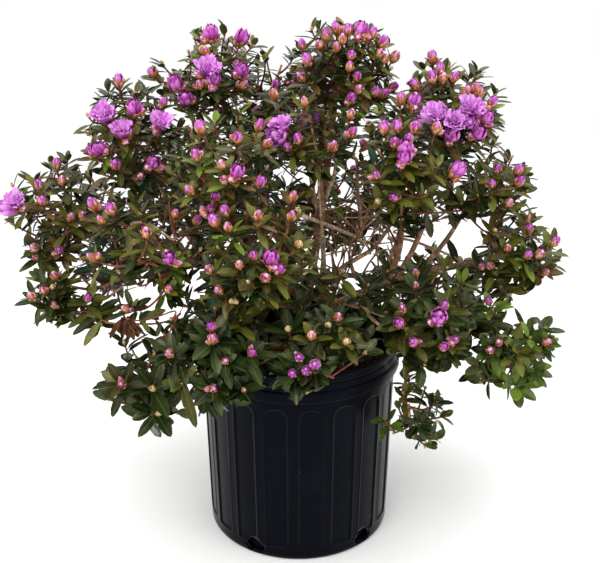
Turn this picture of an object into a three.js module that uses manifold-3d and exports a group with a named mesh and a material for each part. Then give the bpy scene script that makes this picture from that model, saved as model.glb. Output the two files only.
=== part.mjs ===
// A small-leaved rhododendron in a black nursery pot, coming into flower.
// Millimetres, +Z up. The origin is the middle of the pot's underside, and the side in the photo faces -Y.
// Bearings are degrees round the pot from that front, towards +X.

import * as THREE from "three";
import { mergeVertices } from "three/addons/utils/BufferGeometryUtils.js";
import Module from "manifold-3d";

const wasm = await Module();
wasm.setup();
const { Manifold } = wasm;

// Clear gap left between two pieces that rest on or grow out of each other
const SEAT = 0.3;

// Pot: blow-moulded, nearly straight sides with sunk panels, and a stepped rim band
const POT_HEIGHT = 302;
const POT_FOOT_RADIUS = 133;
const POT_BASE_RADIUS = 137;
const POT_SHOULDER_RADIUS = 142.5;
const POT_RIM_RADIUS = 150;
const POT_RIM_DEPTH = 40;
const POT_RIM_STEP = 2;
const POT_WALL = 2.6;
const POT_CHAMFER = 5;
const RIM_COLUMNS = 36;
const PANEL_COUNT = 18;
const PANEL_EDGES = [0, 1.3, 7, 12.7, 14];
const PANEL_CREST = 2;
const PANEL_SUNK = 2;
const PANEL_BOTTOM = 20;
const PANEL_TOP = 248;
const PANEL_ARCH = 11;
const DRAIN_COUNT = 5;
const DRAIN_FIRST_BEARING = -28;
const DRAIN_RADIUS = 12;
const DRAIN_HEIGHT = 8;

// Potting mix: fills the pot to just below the rim band's top, with a slight mound round the stem
const MIX_EDGE_HEIGHT = 256;
const MIX_MIDDLE_HEIGHT = 266;
const MIX_FLAT_RADIUS = 36;

// Trunk: one short stem, flared where it meets the mix
const TRUNK_HEIGHT = 52;
const TRUNK_BASE_RADIUS = 17;
const TRUNK_TOP_RADIUS = 12;
const TRUNK_FLARE = 9;
const TRUNK_FLARE_FADE = 7;
const TRUNK_LEAN = [6, -5];

// Boughs: thickness where a bough leaves the trunk or another bough, and where it enters its foliage
const MAIN_BOUGH_RADII = [7, 4.6];
const SIDE_BOUGH_RADII = [4.4, 3.2];
const BOUGH_RISE = 0.5;
const BOUGH_ENTRY = 0.5;

// Shoots: twigs off one stem in each foliage mass, spread from its outward side, with a whorl of leaves round
// each tip. The leaves are fewer and larger than life, and a bud or an open bloom stands in each whorl.
const MIDDLE_OF_PLANT = new THREE.Vector3(0, 0, 400);
const OUTWARD_LIFT = 0.35;
const SHOOT_TOP = 0.85;
const SHOOT_FALL = 1.1;
const SHOOT_UPTURN = 0.7;
const SHOOT_REACHES = [0.52, 0.42, 0.32];
const TWIG_RADII = [2, 1.6];
const LEAVES_A_SHOOT = 5;
const LEAF = { length: 82, width: 47, thick: 3 };
const LEAF_SIZES = [1, 0.9, 0.8, 0.7, 0.6, 0.5];
const LEAF_OPEN = [50, 92];
const LEAF_ROOT = 3.2;
const BUD = { width: 17, height: 27 };
const BLOOM = { width: 40, height: 28 };
const HEAD_LIFT = 0.3;
const GOLDEN = Math.PI * (3 - Math.sqrt(5));

// One row for each foliage mass and its bough: where the middle of the mass stands, how far the mass spreads,
// which limb its bough leaves and how far along that limb
const MASSES = [
  { name: "left", bearing: -90, reach: 338, height: 490, radius: 90, from: "trunk", at: 0.8 },
  { name: "left_mid", bearing: -55, reach: 225, height: 482, radius: 88, from: "trunk", at: 0.9 },
  { name: "front_mid", bearing: -16, reach: 196, height: 490, radius: 84, from: "trunk", at: 0.85 },
  { name: "top_left", bearing: -94, reach: 128, height: 676, radius: 84, from: "trunk", at: 0.98 },
  { name: "top_right_mid", bearing: 90, reach: 54, height: 682, radius: 88, from: "trunk", at: 1 },
  { name: "right", bearing: 94, reach: 308, height: 420, radius: 84, from: "trunk", at: 0.95 },
  { name: "back_low", bearing: -158, reach: 262, height: 398, radius: 98, from: "trunk", at: 0.75 },
  { name: "left_low", bearing: -86, reach: 314, height: 376, radius: 88, from: "left", at: 0.55 },
  { name: "upper_left", bearing: -82, reach: 222, height: 602, radius: 88, from: "left", at: 0.5 },
  { name: "low_left", bearing: -56, reach: 252, height: 296, radius: 84, from: "left_mid", at: 0.35 },
  { name: "front_left", bearing: -28, reach: 222, height: 366, radius: 84, from: "left_mid", at: 0.5 },
  { name: "front", bearing: 7, reach: 192, height: 356, radius: 84, from: "front_mid", at: 0.4 },
  { name: "front_upper", bearing: -34, reach: 158, height: 590, radius: 84, from: "front_mid", at: 0.6 },
  { name: "front_right", bearing: 53, reach: 208, height: 366, radius: 78, from: "front_mid", at: 0.5 },
  { name: "top_mid", bearing: -148, reach: 84, height: 648, radius: 82, from: "top_left", at: 0.6 },
  { name: "back_left", bearing: -128, reach: 240, height: 510, radius: 98, from: "top_left", at: 0.4 },
  { name: "centre_upper", bearing: 18, reach: 76, height: 597, radius: 78, from: "top_right_mid", at: 0.55 },
  { name: "back_mid", bearing: 178, reach: 195, height: 560, radius: 96, from: "top_right_mid", at: 0.4 },
  { name: "top_right", bearing: 87, reach: 200, height: 630, radius: 87, from: "right", at: 0.55 },
  { name: "right_upper", bearing: 58, reach: 154, height: 578, radius: 84, from: "right", at: 0.5 },
  { name: "right_mid", bearing: 90, reach: 258, height: 526, radius: 78, from: "right", at: 0.65 },
  { name: "right_low", bearing: 78, reach: 294, height: 315, radius: 90, from: "right", at: 0.6 },
  { name: "droop", bearing: 54, reach: 190, height: 226, radius: 70, from: "right", at: 0.5 },
  { name: "back_right", bearing: 133, reach: 235, height: 545, radius: 96, from: "right", at: 0.45 },
  { name: "back_centre", bearing: 162, reach: 250, height: 425, radius: 92, from: "back_low", at: 0.55 },
  { name: "back_left_low", bearing: -119, reach: 310, height: 395, radius: 96, from: "back_low", at: 0.5 },
  { name: "back_right_low", bearing: 127, reach: 290, height: 300, radius: 86, from: "back_low", at: 0.4 },
];

// Shoots in a mass, more in the fullest ones, and how many of the uppermost carry an open bloom
const SHOOTS = 4;
const FULL_SHOOTS = 5;
const FULL_MASSES = [
  "left",
  "top_left",
  "top_right_mid",
  "front",
  "top_right",
  "right_low",
];
const OPEN_BLOOMS = {
  left: 1,
  top_left: 3,
  top_right_mid: 2,
  upper_left: 3,
  front: 1,
  top_mid: 1,
  back_left: 1,
  centre_upper: 1,
  back_mid: 1,
  top_right: 2,
  right_upper: 1,
  back_right: 1,
};

const vec = (x, y, z) => new THREE.Vector3(x, y, z);
const turn = THREE.MathUtils.degToRad;

// The point at a bearing, a reach from the pot's axis and a height
function station(bearing, reach, height) {
  return vec(reach * Math.sin(turn(bearing)), -reach * Math.cos(turn(bearing)), height);
}

// A seeded run of numbers from 0 to 1, the same every time
function numbers(seed) {
  let state = seed >>> 0;
  return () => {
    state = (state + 0x6d2b79f5) >>> 0;
    let mixed = Math.imul(state ^ (state >>> 15), 1 | state);
    mixed = (mixed + Math.imul(mixed ^ (mixed >>> 7), 61 | mixed)) ^ mixed;
    return ((mixed ^ (mixed >>> 14)) >>> 0) / 4294967296;
  };
}

// A three.js geometry as a closed solid
function solidOf(geometry) {
  const bare = geometry.clone();
  bare.deleteAttribute("normal");
  bare.deleteAttribute("uv");
  const merged = mergeVertices(bare, 1e-4);
  return new Manifold(
    new wasm.Mesh({
      numProp: 3,
      vertProperties: merged.attributes.position.array,
      triVerts: new Uint32Array(merged.index.array),
    }),
  );
}

// The largest body of a solid, which fills any sealed hollow and drops any loose scrap
function wholeBody(solid) {
  return solid.decompose().reduce((best, body) => (body.volume() > best.volume() ? body : best));
}

const plant = new THREE.Group();

// Adds a solid to the plant as a named mesh with its own material
function addNode(name, solid, color, roughness) {
  const made = solid.getMesh();
  const geometry = new THREE.BufferGeometry();
  geometry.setAttribute("position", new THREE.BufferAttribute(made.vertProperties, 3));
  geometry.setIndex(new THREE.BufferAttribute(made.triVerts, 1));
  geometry.computeVertexNormals();
  const mesh = new THREE.Mesh(geometry, new THREE.MeshStandardMaterial({ color, roughness, metalness: 0 }));
  mesh.name = name;
  plant.add(mesh);
}

// A solid of revolution about +Z from a profile of [radius, height] pairs that starts and ends on the axis
function revolved(profile, columns) {
  const lathe = new THREE.LatheGeometry(
    profile.map(([radius, height]) => new THREE.Vector2(radius, height)),
    columns,
  );
  return lathe.rotateX(Math.PI / 2);
}

// Pot: a panelled body and a rim band joined, then hollowed, with drain holes cut through its foot
const rimFoot = POT_HEIGHT - POT_RIM_DEPTH;
const rimStep = POT_HEIGHT - POT_RIM_DEPTH * 0.6;
const bodyProfile = [
  [0, 0],
  [POT_FOOT_RADIUS, 0],
  [POT_BASE_RADIUS, POT_CHAMFER],
  [POT_BASE_RADIUS, PANEL_BOTTOM],
  [POT_SHOULDER_RADIUS, PANEL_TOP],
  [POT_SHOULDER_RADIUS, PANEL_TOP + PANEL_SUNK],
  [POT_SHOULDER_RADIUS, rimStep],
  [0, rimStep],
];
const PANEL_ROWS = [3, 4];
const ARCH_ROWS = [4, 5];

// Spreads the lathe's even columns to the panel edges, sinks the panels and arches their tops
function panelled(geometry) {
  const position = geometry.attributes.position;
  const columns = PANEL_COUNT * PANEL_EDGES.length;
  for (let i = 0; i < position.count; i += 1) {
    const row = i % bodyProfile.length;
    const column = Math.floor(i / bodyProfile.length) % columns;
    const edge = column % PANEL_EDGES.length;
    const panel = Math.floor(column / PANEL_EDGES.length);
    const inside = edge > 0 && edge < PANEL_EDGES.length - 1;
    const crest = edge === PANEL_CREST;
    const sunk = inside && PANEL_ROWS.includes(row) ? PANEL_SUNK : 0;
    const arch = !crest && ARCH_ROWS.includes(row) ? PANEL_ARCH : 0;
    const [radius, height] = bodyProfile[row];
    const bearing = (360 / PANEL_COUNT) * panel + PANEL_EDGES[edge];
    const place = station(bearing, radius - sunk, height - arch);
    position.setXYZ(i, place.x, place.y, place.z);
  }
  return geometry;
}

const potBody = solidOf(panelled(revolved(bodyProfile, PANEL_COUNT * PANEL_EDGES.length)));
const potRim = solidOf(
  revolved(
    [
      [0, rimFoot],
      [POT_RIM_RADIUS, rimFoot],
      [POT_RIM_RADIUS, rimStep],
      [POT_RIM_RADIUS - POT_RIM_STEP, rimStep + POT_RIM_STEP],
      [POT_RIM_RADIUS - POT_RIM_STEP, POT_HEIGHT],
      [0, POT_HEIGHT],
    ],
    RIM_COLUMNS,
  ),
);
const potInside = solidOf(
  revolved(
    [
      [0, POT_WALL],
      [POT_BASE_RADIUS - PANEL_SUNK - POT_WALL, POT_WALL],
      [POT_SHOULDER_RADIUS - PANEL_SUNK - POT_WALL, rimFoot],
      [POT_RIM_RADIUS - POT_RIM_STEP - POT_WALL, POT_HEIGHT],
      [POT_RIM_RADIUS - POT_RIM_STEP - POT_WALL, POT_HEIGHT + POT_WALL],
      [0, POT_HEIGHT + POT_WALL],
    ],
    RIM_COLUMNS,
  ),
);
const drains = Array.from({ length: DRAIN_COUNT }, (_, i) => {
  const bearing = DRAIN_FIRST_BEARING + (360 / DRAIN_COUNT) * i;
  const middle = station(bearing, POT_BASE_RADIUS, DRAIN_HEIGHT);
  const hole = new THREE.CylinderGeometry(DRAIN_RADIUS, DRAIN_RADIUS, 2 * DRAIN_RADIUS, 8);
  hole.rotateZ(turn(bearing));
  return solidOf(hole.translate(middle.x, middle.y, middle.z));
});
const pot = potBody.add(potRim).subtract(potInside).subtract(Manifold.union(drains));
addNode("pot", pot, 0x1c1d21, 0.45);

// Potting mix
const mixFoot = POT_WALL + SEAT;
const wallSlope = (POT_SHOULDER_RADIUS - POT_BASE_RADIUS) / (rimFoot - POT_WALL);
const mixRadius = (height) =>
  POT_BASE_RADIUS - PANEL_SUNK - POT_WALL + wallSlope * (height - POT_WALL) - SEAT;
const mix = solidOf(
  revolved(
    [
      [0, mixFoot],
      [mixRadius(mixFoot), mixFoot],
      [mixRadius(MIX_EDGE_HEIGHT), MIX_EDGE_HEIGHT],
      [mixRadius(MIX_EDGE_HEIGHT) * 0.75, MIX_EDGE_HEIGHT + 6],
      [MIX_FLAT_RADIUS, MIX_MIDDLE_HEIGHT],
      [0, MIX_MIDDLE_HEIGHT],
    ],
    RIM_COLUMNS,
  ),
);
addNode("potting_mix", mix, 0x3a2a1f, 0.95);

// A limb: a cylinder laid along a curve, with its radius given along the way
function limb(curve, radiusAt, sides, segments) {
  const tube = new THREE.CylinderGeometry(1, 1, 1, sides, segments);
  const position = tube.attributes.position;
  const bendAxis = curve.getTangent(0).cross(curve.getTangent(1));
  if (bendAxis.length() < 1e-3) {
    bendAxis.copy(curve.getTangent(0)).cross(vec(0.3, 1, 0.1));
  }
  bendAxis.normalize();
  for (let i = 0; i < position.count; i += 1) {
    const along = position.getY(i) + 0.5;
    const tangent = curve.getTangent(along);
    const side = bendAxis.clone().cross(tangent).normalize();
    const across = side.clone().cross(tangent);
    const place = curve.getPoint(along);
    place.addScaledVector(side, position.getX(i) * radiusAt(along));
    place.addScaledVector(across, position.getZ(i) * radiusAt(along));
    position.setXYZ(i, place.x, place.y, place.z);
  }
  return solidOf(tube);
}

// Trunk
const trunkFoot = vec(0, 0, MIX_MIDDLE_HEIGHT + SEAT);
const trunkTop = vec(TRUNK_LEAN[0], TRUNK_LEAN[1], trunkFoot.z + TRUNK_HEIGHT);
const trunkCurve = new THREE.QuadraticBezierCurve3(
  trunkFoot,
  vec(0, 0, trunkFoot.z + TRUNK_HEIGHT / 2),
  trunkTop,
);
const trunkLimb = (clearance) =>
  limb(
    trunkCurve,
    (along) =>
      TRUNK_BASE_RADIUS +
      (TRUNK_TOP_RADIUS - TRUNK_BASE_RADIUS) * along +
      TRUNK_FLARE * Math.exp(-TRUNK_FLARE_FADE * along) +
      clearance,
    10,
    5,
  );
addNode("trunk", trunkLimb(0), 0x5f4c39, 0.9);

// Boughs, in order: each is cut clear of the limbs laid before it and ends where it enters its mass
const limbsGrown = [trunkLimb(SEAT)];
const boughs = new Map();
for (const mass of MASSES) {
  const main = mass.from === "trunk";
  const carrier = main ? trunkCurve : boughs.get(mass.from).curve;
  const start = carrier.getPoint(mass.at);
  const centre = station(mass.bearing, mass.reach, mass.height);
  const away = centre.clone().sub(start).normalize();
  const entry = centre.clone().addScaledVector(away, -BOUGH_ENTRY * mass.radius);
  const rise = carrier.getTangent(mass.at).multiplyScalar(BOUGH_RISE).add(away).normalize();
  const knee = start.clone().addScaledVector(rise, 0.5 * entry.distanceTo(start));
  const curve = new THREE.QuadraticBezierCurve3(start, knee, entry);
  const [thick, thin] = main ? MAIN_BOUGH_RADII : SIDE_BOUGH_RADII;
  const boughLimb = (clearance) =>
    limb(curve, (along) => thick + (thin - thick) * along + clearance, main ? 6 : 4, main ? 5 : 3);
  const cutClear = boughLimb(0).subtract(Manifold.union(limbsGrown));
  addNode(mass.name + "_bough", wholeBody(cutClear), main ? 0x66513b : 0x7a5c41, 0.85);
  limbsGrown.push(boughLimb(SEAT));
  boughs.set(mass.name, { curve, thin, centre });
}

// Stems: each mass hangs on one stem that carries on from its bough's tip to near the middle of the mass
const stems = new Map();
for (const mass of MASSES) {
  const { curve, thin, centre } = boughs.get(mass.name);
  const onward = curve.getTangent(1);
  const foot = curve.getPoint(1).addScaledVector(onward, SEAT);
  const knee = foot.clone().addScaledVector(onward, 0.2 * mass.radius);
  const end = centre.clone().addScaledVector(onward, -0.1 * mass.radius);
  const path = new THREE.QuadraticBezierCurve3(foot, knee, end);
  const stemLimb = (clearance) => limb(path, () => thin + clearance, 4, 2);
  stems.set(mass.name, { path, solid: stemLimb(0), grown: stemLimb(SEAT) });
}

// True where a point lies in a mass's own space: within its reach and on its own side of every neighbour
function inSpace(mass, point) {
  const { centre } = boughs.get(mass.name);
  const own = point.distanceToSquared(centre) - mass.radius ** 2;
  return MASSES.every((other) => {
    const otherCentre = boughs.get(other.name).centre;
    const theirs = point.distanceToSquared(otherCentre) - other.radius ** 2;
    return other === mass ? own < 0 : own - theirs < -2 * SEAT * centre.distanceTo(otherCentre);
  });
}

// A shape that may join a mass: it keeps to the mass's space and touches no limb, other stem or pot
function fits(mass, geometry, solid, inTheWay) {
  const position = geometry.attributes.position;
  for (let i = 0; i < position.count; i += 1) {
    if (!inSpace(mass, vec().fromBufferAttribute(position, i))) {
      return false;
    }
  }
  return inTheWay.intersect(solid).isEmpty();
}

// Turns a shape's own x, y and z onto three directions and moves it to a place
function placed(geometry, x, y, z, place) {
  return geometry.applyMatrix4(new THREE.Matrix4().makeBasis(x, y, z).setPosition(place));
}

// A direction square to another
function besideOf(direction) {
  const other = Math.abs(direction.z) < 0.9 ? vec(0, 0, 1) : vec(1, 0, 0);
  return other.cross(direction).normalize();
}

// The direction at a polar angle's cosine and a turn round an axis
function leaning(axis, side, cosine, round) {
  const sine = Math.sqrt(1 - cosine * cosine);
  const front = axis.clone().cross(side);
  const direction = axis.clone().multiplyScalar(cosine);
  direction.addScaledVector(side, sine * Math.cos(round));
  return direction.addScaledVector(front, sine * Math.sin(round));
}

// A leaf: a flattened tetrahedron, so its blade arches from root to tip over a keel
function leafBlade(length, width, thick) {
  const blade = new THREE.TetrahedronGeometry(Math.sqrt(3));
  blade.rotateZ(-Math.PI / 4).rotateX(Math.PI);
  return blade.scale(length / Math.sqrt(8), width / Math.sqrt(8), thick / 2);
}

const shootsOf = (mass) => (FULL_MASSES.includes(mass.name) ? FULL_SHOOTS : SHOOTS);

// One shoot of a mass: a twig off the stem, a bud or an open bloom at its tip, and a whorl of leaves round it.
// The first reach at which the twig and its head fit is taken, and each leaf is as large as its space allows.
function grownShoot(mass, order, shoot, inTheWay, grownAlready) {
  const next = numbers(100 * order + shoot);
  const { centre } = boughs.get(mass.name);
  const outward = centre.clone().sub(MIDDLE_OF_PLANT).normalize().add(vec(0, 0, OUTWARD_LIFT)).normalize();
  const cosine = SHOOT_TOP - (SHOOT_FALL * (shoot + 0.3 * next())) / shootsOf(mass);
  const round = 1.6 * GOLDEN * shoot + 0.8 * next() + order;
  const direction = leaning(outward, besideOf(outward), cosine, round);
  const axis = direction.clone().add(vec(0, 0, SHOOT_UPTURN)).normalize();
  const side = besideOf(axis).applyAxisAngle(axis, round);
  const fork = stems.get(mass.name).path.getPoint(1 - (0.12 + 0.6 * shoot) / shootsOf(mass));
  const inBloom = shoot < (OPEN_BLOOMS[mass.name] ?? 0);
  const flower = inBloom ? BLOOM : BUD;
  for (const reach of SHOOT_REACHES) {
    const tip = centre.clone().addScaledVector(direction, reach * mass.radius);
    const bend = tip.clone().addScaledVector(axis, -0.4 * tip.distanceTo(fork));
    const twigPath = new THREE.QuadraticBezierCurve3(fork, bend, tip);
    const twig = limb(twigPath, (along) => TWIG_RADII[0] + (TWIG_RADII[1] - TWIG_RADII[0]) * along, 3, 1);
    const head = new THREE.SphereGeometry(0.5, LEAVES_A_SHOOT, inBloom ? 3 : 2).rotateX(Math.PI / 2);
    head.scale(flower.width, flower.width, flower.height);
    const headMiddle = tip.clone().addScaledVector(axis, HEAD_LIFT * flower.height);
    placed(head, side, axis.clone().cross(side), axis, headMiddle);
    const headSolid = solidOf(head);
    if (!inTheWay.intersect(twig).isEmpty() || !fits(mass, head, headSolid, inTheWay)) {
      continue;
    }
    const pieces = [twig, headSolid];
    for (let k = 0; k < LEAVES_A_SHOOT; k += 1) {
      const around = (2 * Math.PI * k) / LEAVES_A_SHOOT + 0.1 * (next() - 0.5);
      const open = turn(LEAF_OPEN[0] + (LEAF_OPEN[1] - LEAF_OPEN[0]) * next());
      const along = leaning(axis, side, Math.cos(open), around);
      const breadth = axis.clone().cross(along).normalize();
      const root = tip.clone().addScaledVector(axis, LEAF_ROOT);
      for (const size of LEAF_SIZES) {
        const blade = leafBlade(LEAF.length * size, LEAF.width * size, LEAF.thick);
        const middle = root.clone().addScaledVector(along, 0.49 * LEAF.length * size);
        placed(blade, along, breadth, along.clone().cross(breadth), middle);
        const leaf = solidOf(blade);
        if (fits(mass, blade, leaf, inTheWay) && grownAlready.intersect(leaf).isEmpty()) {
          pieces.push(leaf);
          break;
        }
      }
    }
    return pieces;
  }
  return [];
}

// Foliage masses: each is its stem and its shoots fused into one body
const potSpace = solidOf(
  new THREE.CylinderGeometry(POT_RIM_RADIUS + 1, POT_RIM_RADIUS + 1, POT_HEIGHT + 1, 24)
    .rotateX(Math.PI / 2)
    .translate(0, 0, (POT_HEIGHT + 1) / 2),
);
MASSES.forEach((mass, order) => {
  const otherStems = MASSES.filter((other) => other !== mass).map((other) => stems.get(other.name).grown);
  const inTheWay = Manifold.union([...limbsGrown, ...otherStems, potSpace]);
  let shoots = [];
  for (let shoot = 0; shoot < shootsOf(mass); shoot += 1) {
    shoots = [...shoots, ...grownShoot(mass, order, shoot, inTheWay, Manifold.union(shoots))];
  }
  const foliage = wholeBody(Manifold.union([stems.get(mass.name).solid, ...shoots]));
  addNode(mass.name + "_foliage", foliage, 0x46542f, 0.6);
});

export default plant;
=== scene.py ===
import math

import bpy
import numpy as np
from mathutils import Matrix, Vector, noise


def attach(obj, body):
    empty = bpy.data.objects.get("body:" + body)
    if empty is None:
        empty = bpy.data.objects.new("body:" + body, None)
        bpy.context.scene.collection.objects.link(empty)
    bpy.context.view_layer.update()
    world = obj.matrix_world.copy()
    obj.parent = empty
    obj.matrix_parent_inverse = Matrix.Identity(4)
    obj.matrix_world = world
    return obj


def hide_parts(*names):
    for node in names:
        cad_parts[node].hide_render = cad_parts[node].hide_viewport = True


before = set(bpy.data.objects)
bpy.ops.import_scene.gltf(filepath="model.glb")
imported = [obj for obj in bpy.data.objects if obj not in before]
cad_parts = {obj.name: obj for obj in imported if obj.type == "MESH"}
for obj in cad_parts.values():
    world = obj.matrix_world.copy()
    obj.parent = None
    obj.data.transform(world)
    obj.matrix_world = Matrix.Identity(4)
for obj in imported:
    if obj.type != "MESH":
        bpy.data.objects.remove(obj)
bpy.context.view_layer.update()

# Camera. It stands in front of the plant and a little above it, and looks down on the pot at a slant,
# so that the pot's base and rim show as the ellipses that they are in the photograph.
MM = 0.001
FRAME_WIDTH = 600
FRAME_HEIGHT = 563
FOCAL_PIXELS = 940
SENSOR_WIDTH = 36
CAMERA_PLACE = np.array([2.0, -1283.0, 860.0])
CAMERA_PITCH = math.radians(20.35)

camera_data = bpy.data.cameras.new("camera")
camera_data.sensor_width = SENSOR_WIDTH
camera_data.lens = FOCAL_PIXELS * SENSOR_WIDTH / FRAME_WIDTH
camera = bpy.data.objects.new("camera", camera_data)
camera.location = CAMERA_PLACE * MM
camera.rotation_euler = (math.pi / 2 - CAMERA_PITCH, 0, 0)
bpy.context.collection.objects.link(camera)
bpy.context.scene.camera = camera

AHEAD = np.array([0, math.cos(CAMERA_PITCH), -math.sin(CAMERA_PITCH)])
UPWARD = np.array([0, math.sin(CAMERA_PITCH), math.cos(CAMERA_PITCH)])
RIGHTWARD = np.array([1.0, 0, 0])


def unit(vector):
    """The same direction with a length of one."""
    return vector / np.linalg.norm(vector)


def sight(pixel):
    """The direction in which the camera sees a pixel of the photograph."""
    right = (pixel[0] - FRAME_WIDTH / 2) / FOCAL_PIXELS
    up = (FRAME_HEIGHT / 2 - pixel[1]) / FOCAL_PIXELS
    return unit(AHEAD + right * RIGHTWARD + up * UPWARD)


def depth_of(points):
    """How far in front of the camera points in millimetres stand."""
    return (points - CAMERA_PLACE) @ AHEAD


def pixels_of(points):
    """Where points in millimetres show in the photograph's frame."""
    points = np.atleast_2d(points)
    away = points - CAMERA_PLACE
    depth = depth_of(points)
    across = FRAME_WIDTH / 2 + FOCAL_PIXELS * (away @ RIGHTWARD) / depth
    down = FRAME_HEIGHT / 2 - FOCAL_PIXELS * (away @ UPWARD) / depth
    return np.stack([across, down], axis=1)


# Nursery pot. Black polyethylene, blow-moulded in one piece, with eighteen shallow panels pressed into its
# side and a stepped band round its mouth. Five drain holes are torn through the edge of its foot.
POT_HEIGHT = 302
POT_FOOT_RADIUS = 133
POT_BASE_RADIUS = 137
POT_SHOULDER_RADIUS = 142.5
POT_RIM_RADIUS = 150
POT_RIM_FOOT = 262
POT_WALL = 2.6
FLOOR_DISC_RADIUS = 60
PANEL_COUNT = 18
PANEL_WIDTH = 14
PANEL_SUNK = 2
PANEL_EASE = 2.6
PANEL_BOTTOM = 20
PANEL_TOP = 248
PANEL_TOP_CORNER = 15
PANEL_BOTTOM_CORNER = 5
PANEL_BEAD = 0.5
PANEL_BEAD_PLACE = 0.8
DRAIN_COUNT = 5
DRAIN_FIRST_BEARING = -28
DRAIN_RADIUS = 15.5
DRAIN_HEIGHT = 13.5
DRAIN_SILL = 1.8
DRAIN_SQUASH = 0.85
DRAIN_CORNERS = 18
DRAIN_CUT = (120, 150)
DRAIN_SEED = 40
UP = np.array([0, 0, 1.0])


def linear(hex_colour):
    """An sRGB hex colour as the linear colour that a shader takes."""
    parts = [int(hex_colour[i : i + 2], 16) / 255 for i in (1, 3, 5)]
    curved = [c / 12.92 if c <= 0.04045 else ((c + 0.055) / 1.055) ** 2.4 for c in parts]
    return (*curved, 1.0)


def add_node(material, kind, inputs=None, **settings):
    """Adds a shader node with its settings, its constant inputs and its links."""
    made = material.node_tree.nodes.new(kind)
    for setting, value in settings.items():
        setattr(made, setting, value)
    for socket, value in (inputs or {}).items():
        if isinstance(value, bpy.types.NodeSocket):
            material.node_tree.links.new(value, made.inputs[socket])
        else:
            made.inputs[socket].default_value = value
    return made


def new_material(name, **shader_values):
    """A material with its surface shader set to constant values, and that shader."""
    material = bpy.data.materials.new(name)
    material.use_nodes = True
    shader = material.node_tree.nodes["Principled BSDF"]
    for socket, value in shader_values.items():
        shader.inputs[socket.replace("_", " ")].default_value = value
    return material, shader


def blend_of(material, colours, factor):
    """A colour ramp over hex colours, each given with its place from 0 to 1."""
    ramp = add_node(material, "ShaderNodeValToRGB", {"Fac": factor})
    while len(ramp.color_ramp.elements) < len(colours):
        ramp.color_ramp.elements.new(0.5)
    for element, (place, hex_colour) in zip(ramp.color_ramp.elements, colours):
        element.position = place
        element.color = linear(hex_colour)
    return ramp.outputs["Color"]


class Gathered:
    """Points and faces put together into one mesh, with a material number for each face."""

    def __init__(self):
        self.points = []
        self.faces = {}
        self.marks = {}
        self.count = 0

    def add(self, points, faces, material=0, **marks):
        """Adds points with groups of faces, one material number for all groups or a tuple of one for each."""
        each = material if isinstance(material, tuple) else (material,) * len(faces)
        for corners, number in zip(faces, each):
            kept = self.faces.setdefault(corners.shape[1], [])
            kept.append((corners + self.count, np.full(len(corners), number)))
        for mark, values in marks.items():
            self.marks.setdefault(mark, []).append(values)
        self.points.append(points)
        self.count += len(points)

    def piece(self, name, materials, sharp=40):
        """Makes the object, riding on the plant's one body."""
        mesh = bpy.data.meshes.new(name)
        points = np.concatenate(self.points) * MM
        mesh.vertices.add(len(points))
        mesh.vertices.foreach_set("co", points.ravel())
        groups = [pair for size in sorted(self.faces) for pair in self.faces[size]]
        corners = np.concatenate([group.ravel() for group, _ in groups])
        sizes = np.concatenate([np.full(len(group), group.shape[1]) for group, _ in groups])
        mesh.loops.add(len(corners))
        mesh.loops.foreach_set("vertex_index", corners.astype(np.int32))
        mesh.polygons.add(len(sizes))
        starts = np.concatenate([[0], np.cumsum(sizes)[:-1]])
        mesh.polygons.foreach_set("loop_start", starts.astype(np.int32))
        numbers_of_materials = np.concatenate([which for _, which in groups])
        mesh.polygons.foreach_set("material_index", numbers_of_materials.astype(np.int32))
        mesh.polygons.foreach_set("use_smooth", np.ones(len(sizes), dtype=bool))
        for material in materials:
            mesh.materials.append(material)
        for mark, values in self.marks.items():
            held = mesh.attributes.new(mark, "FLOAT", "POINT")
            held.data.foreach_set("value", np.concatenate(values).astype(np.float32))
        mesh.update(calc_edges=True)
        mesh.validate()
        mesh.set_sharp_from_angle(angle=math.radians(sharp))
        made = bpy.data.objects.new(name, mesh)
        bpy.context.collection.objects.link(made)
        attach(made, "root")
        return made


def grid_faces(rows, columns, closed=True):
    """The four-cornered faces of a grid of points, which may close on itself across its columns."""
    faces = []
    for row in range(rows - 1):
        for column in range(columns if closed else columns - 1):
            beside = (column + 1) % columns
            faces.append(
                (
                    row * columns + column,
                    row * columns + beside,
                    (row + 1) * columns + beside,
                    (row + 1) * columns + column,
                )
            )
    return np.array(faces)


def end_faces(rows, columns):
    """The two faces that close the first and the last row of such a grid."""
    return [np.arange(columns)[::-1][None, :], ((rows - 1) * columns + np.arange(columns))[None, :]]


def numbers(seed):
    """A seeded run of numbers from 0 to 1, the same as in the part's source."""
    state = seed & 0xFFFFFFFF

    def draw():
        nonlocal state
        state = (state + 0x6D2B79F5) & 0xFFFFFFFF
        mixed = ((state ^ (state >> 15)) * (1 | state)) & 0xFFFFFFFF
        stirred = ((mixed ^ (mixed >> 7)) * (61 | mixed)) & 0xFFFFFFFF
        mixed = ((mixed + stirred) ^ mixed) & 0xFFFFFFFF
        return ((mixed ^ (mixed >> 14)) & 0xFFFFFFFF) / 4294967296

    return draw


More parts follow.
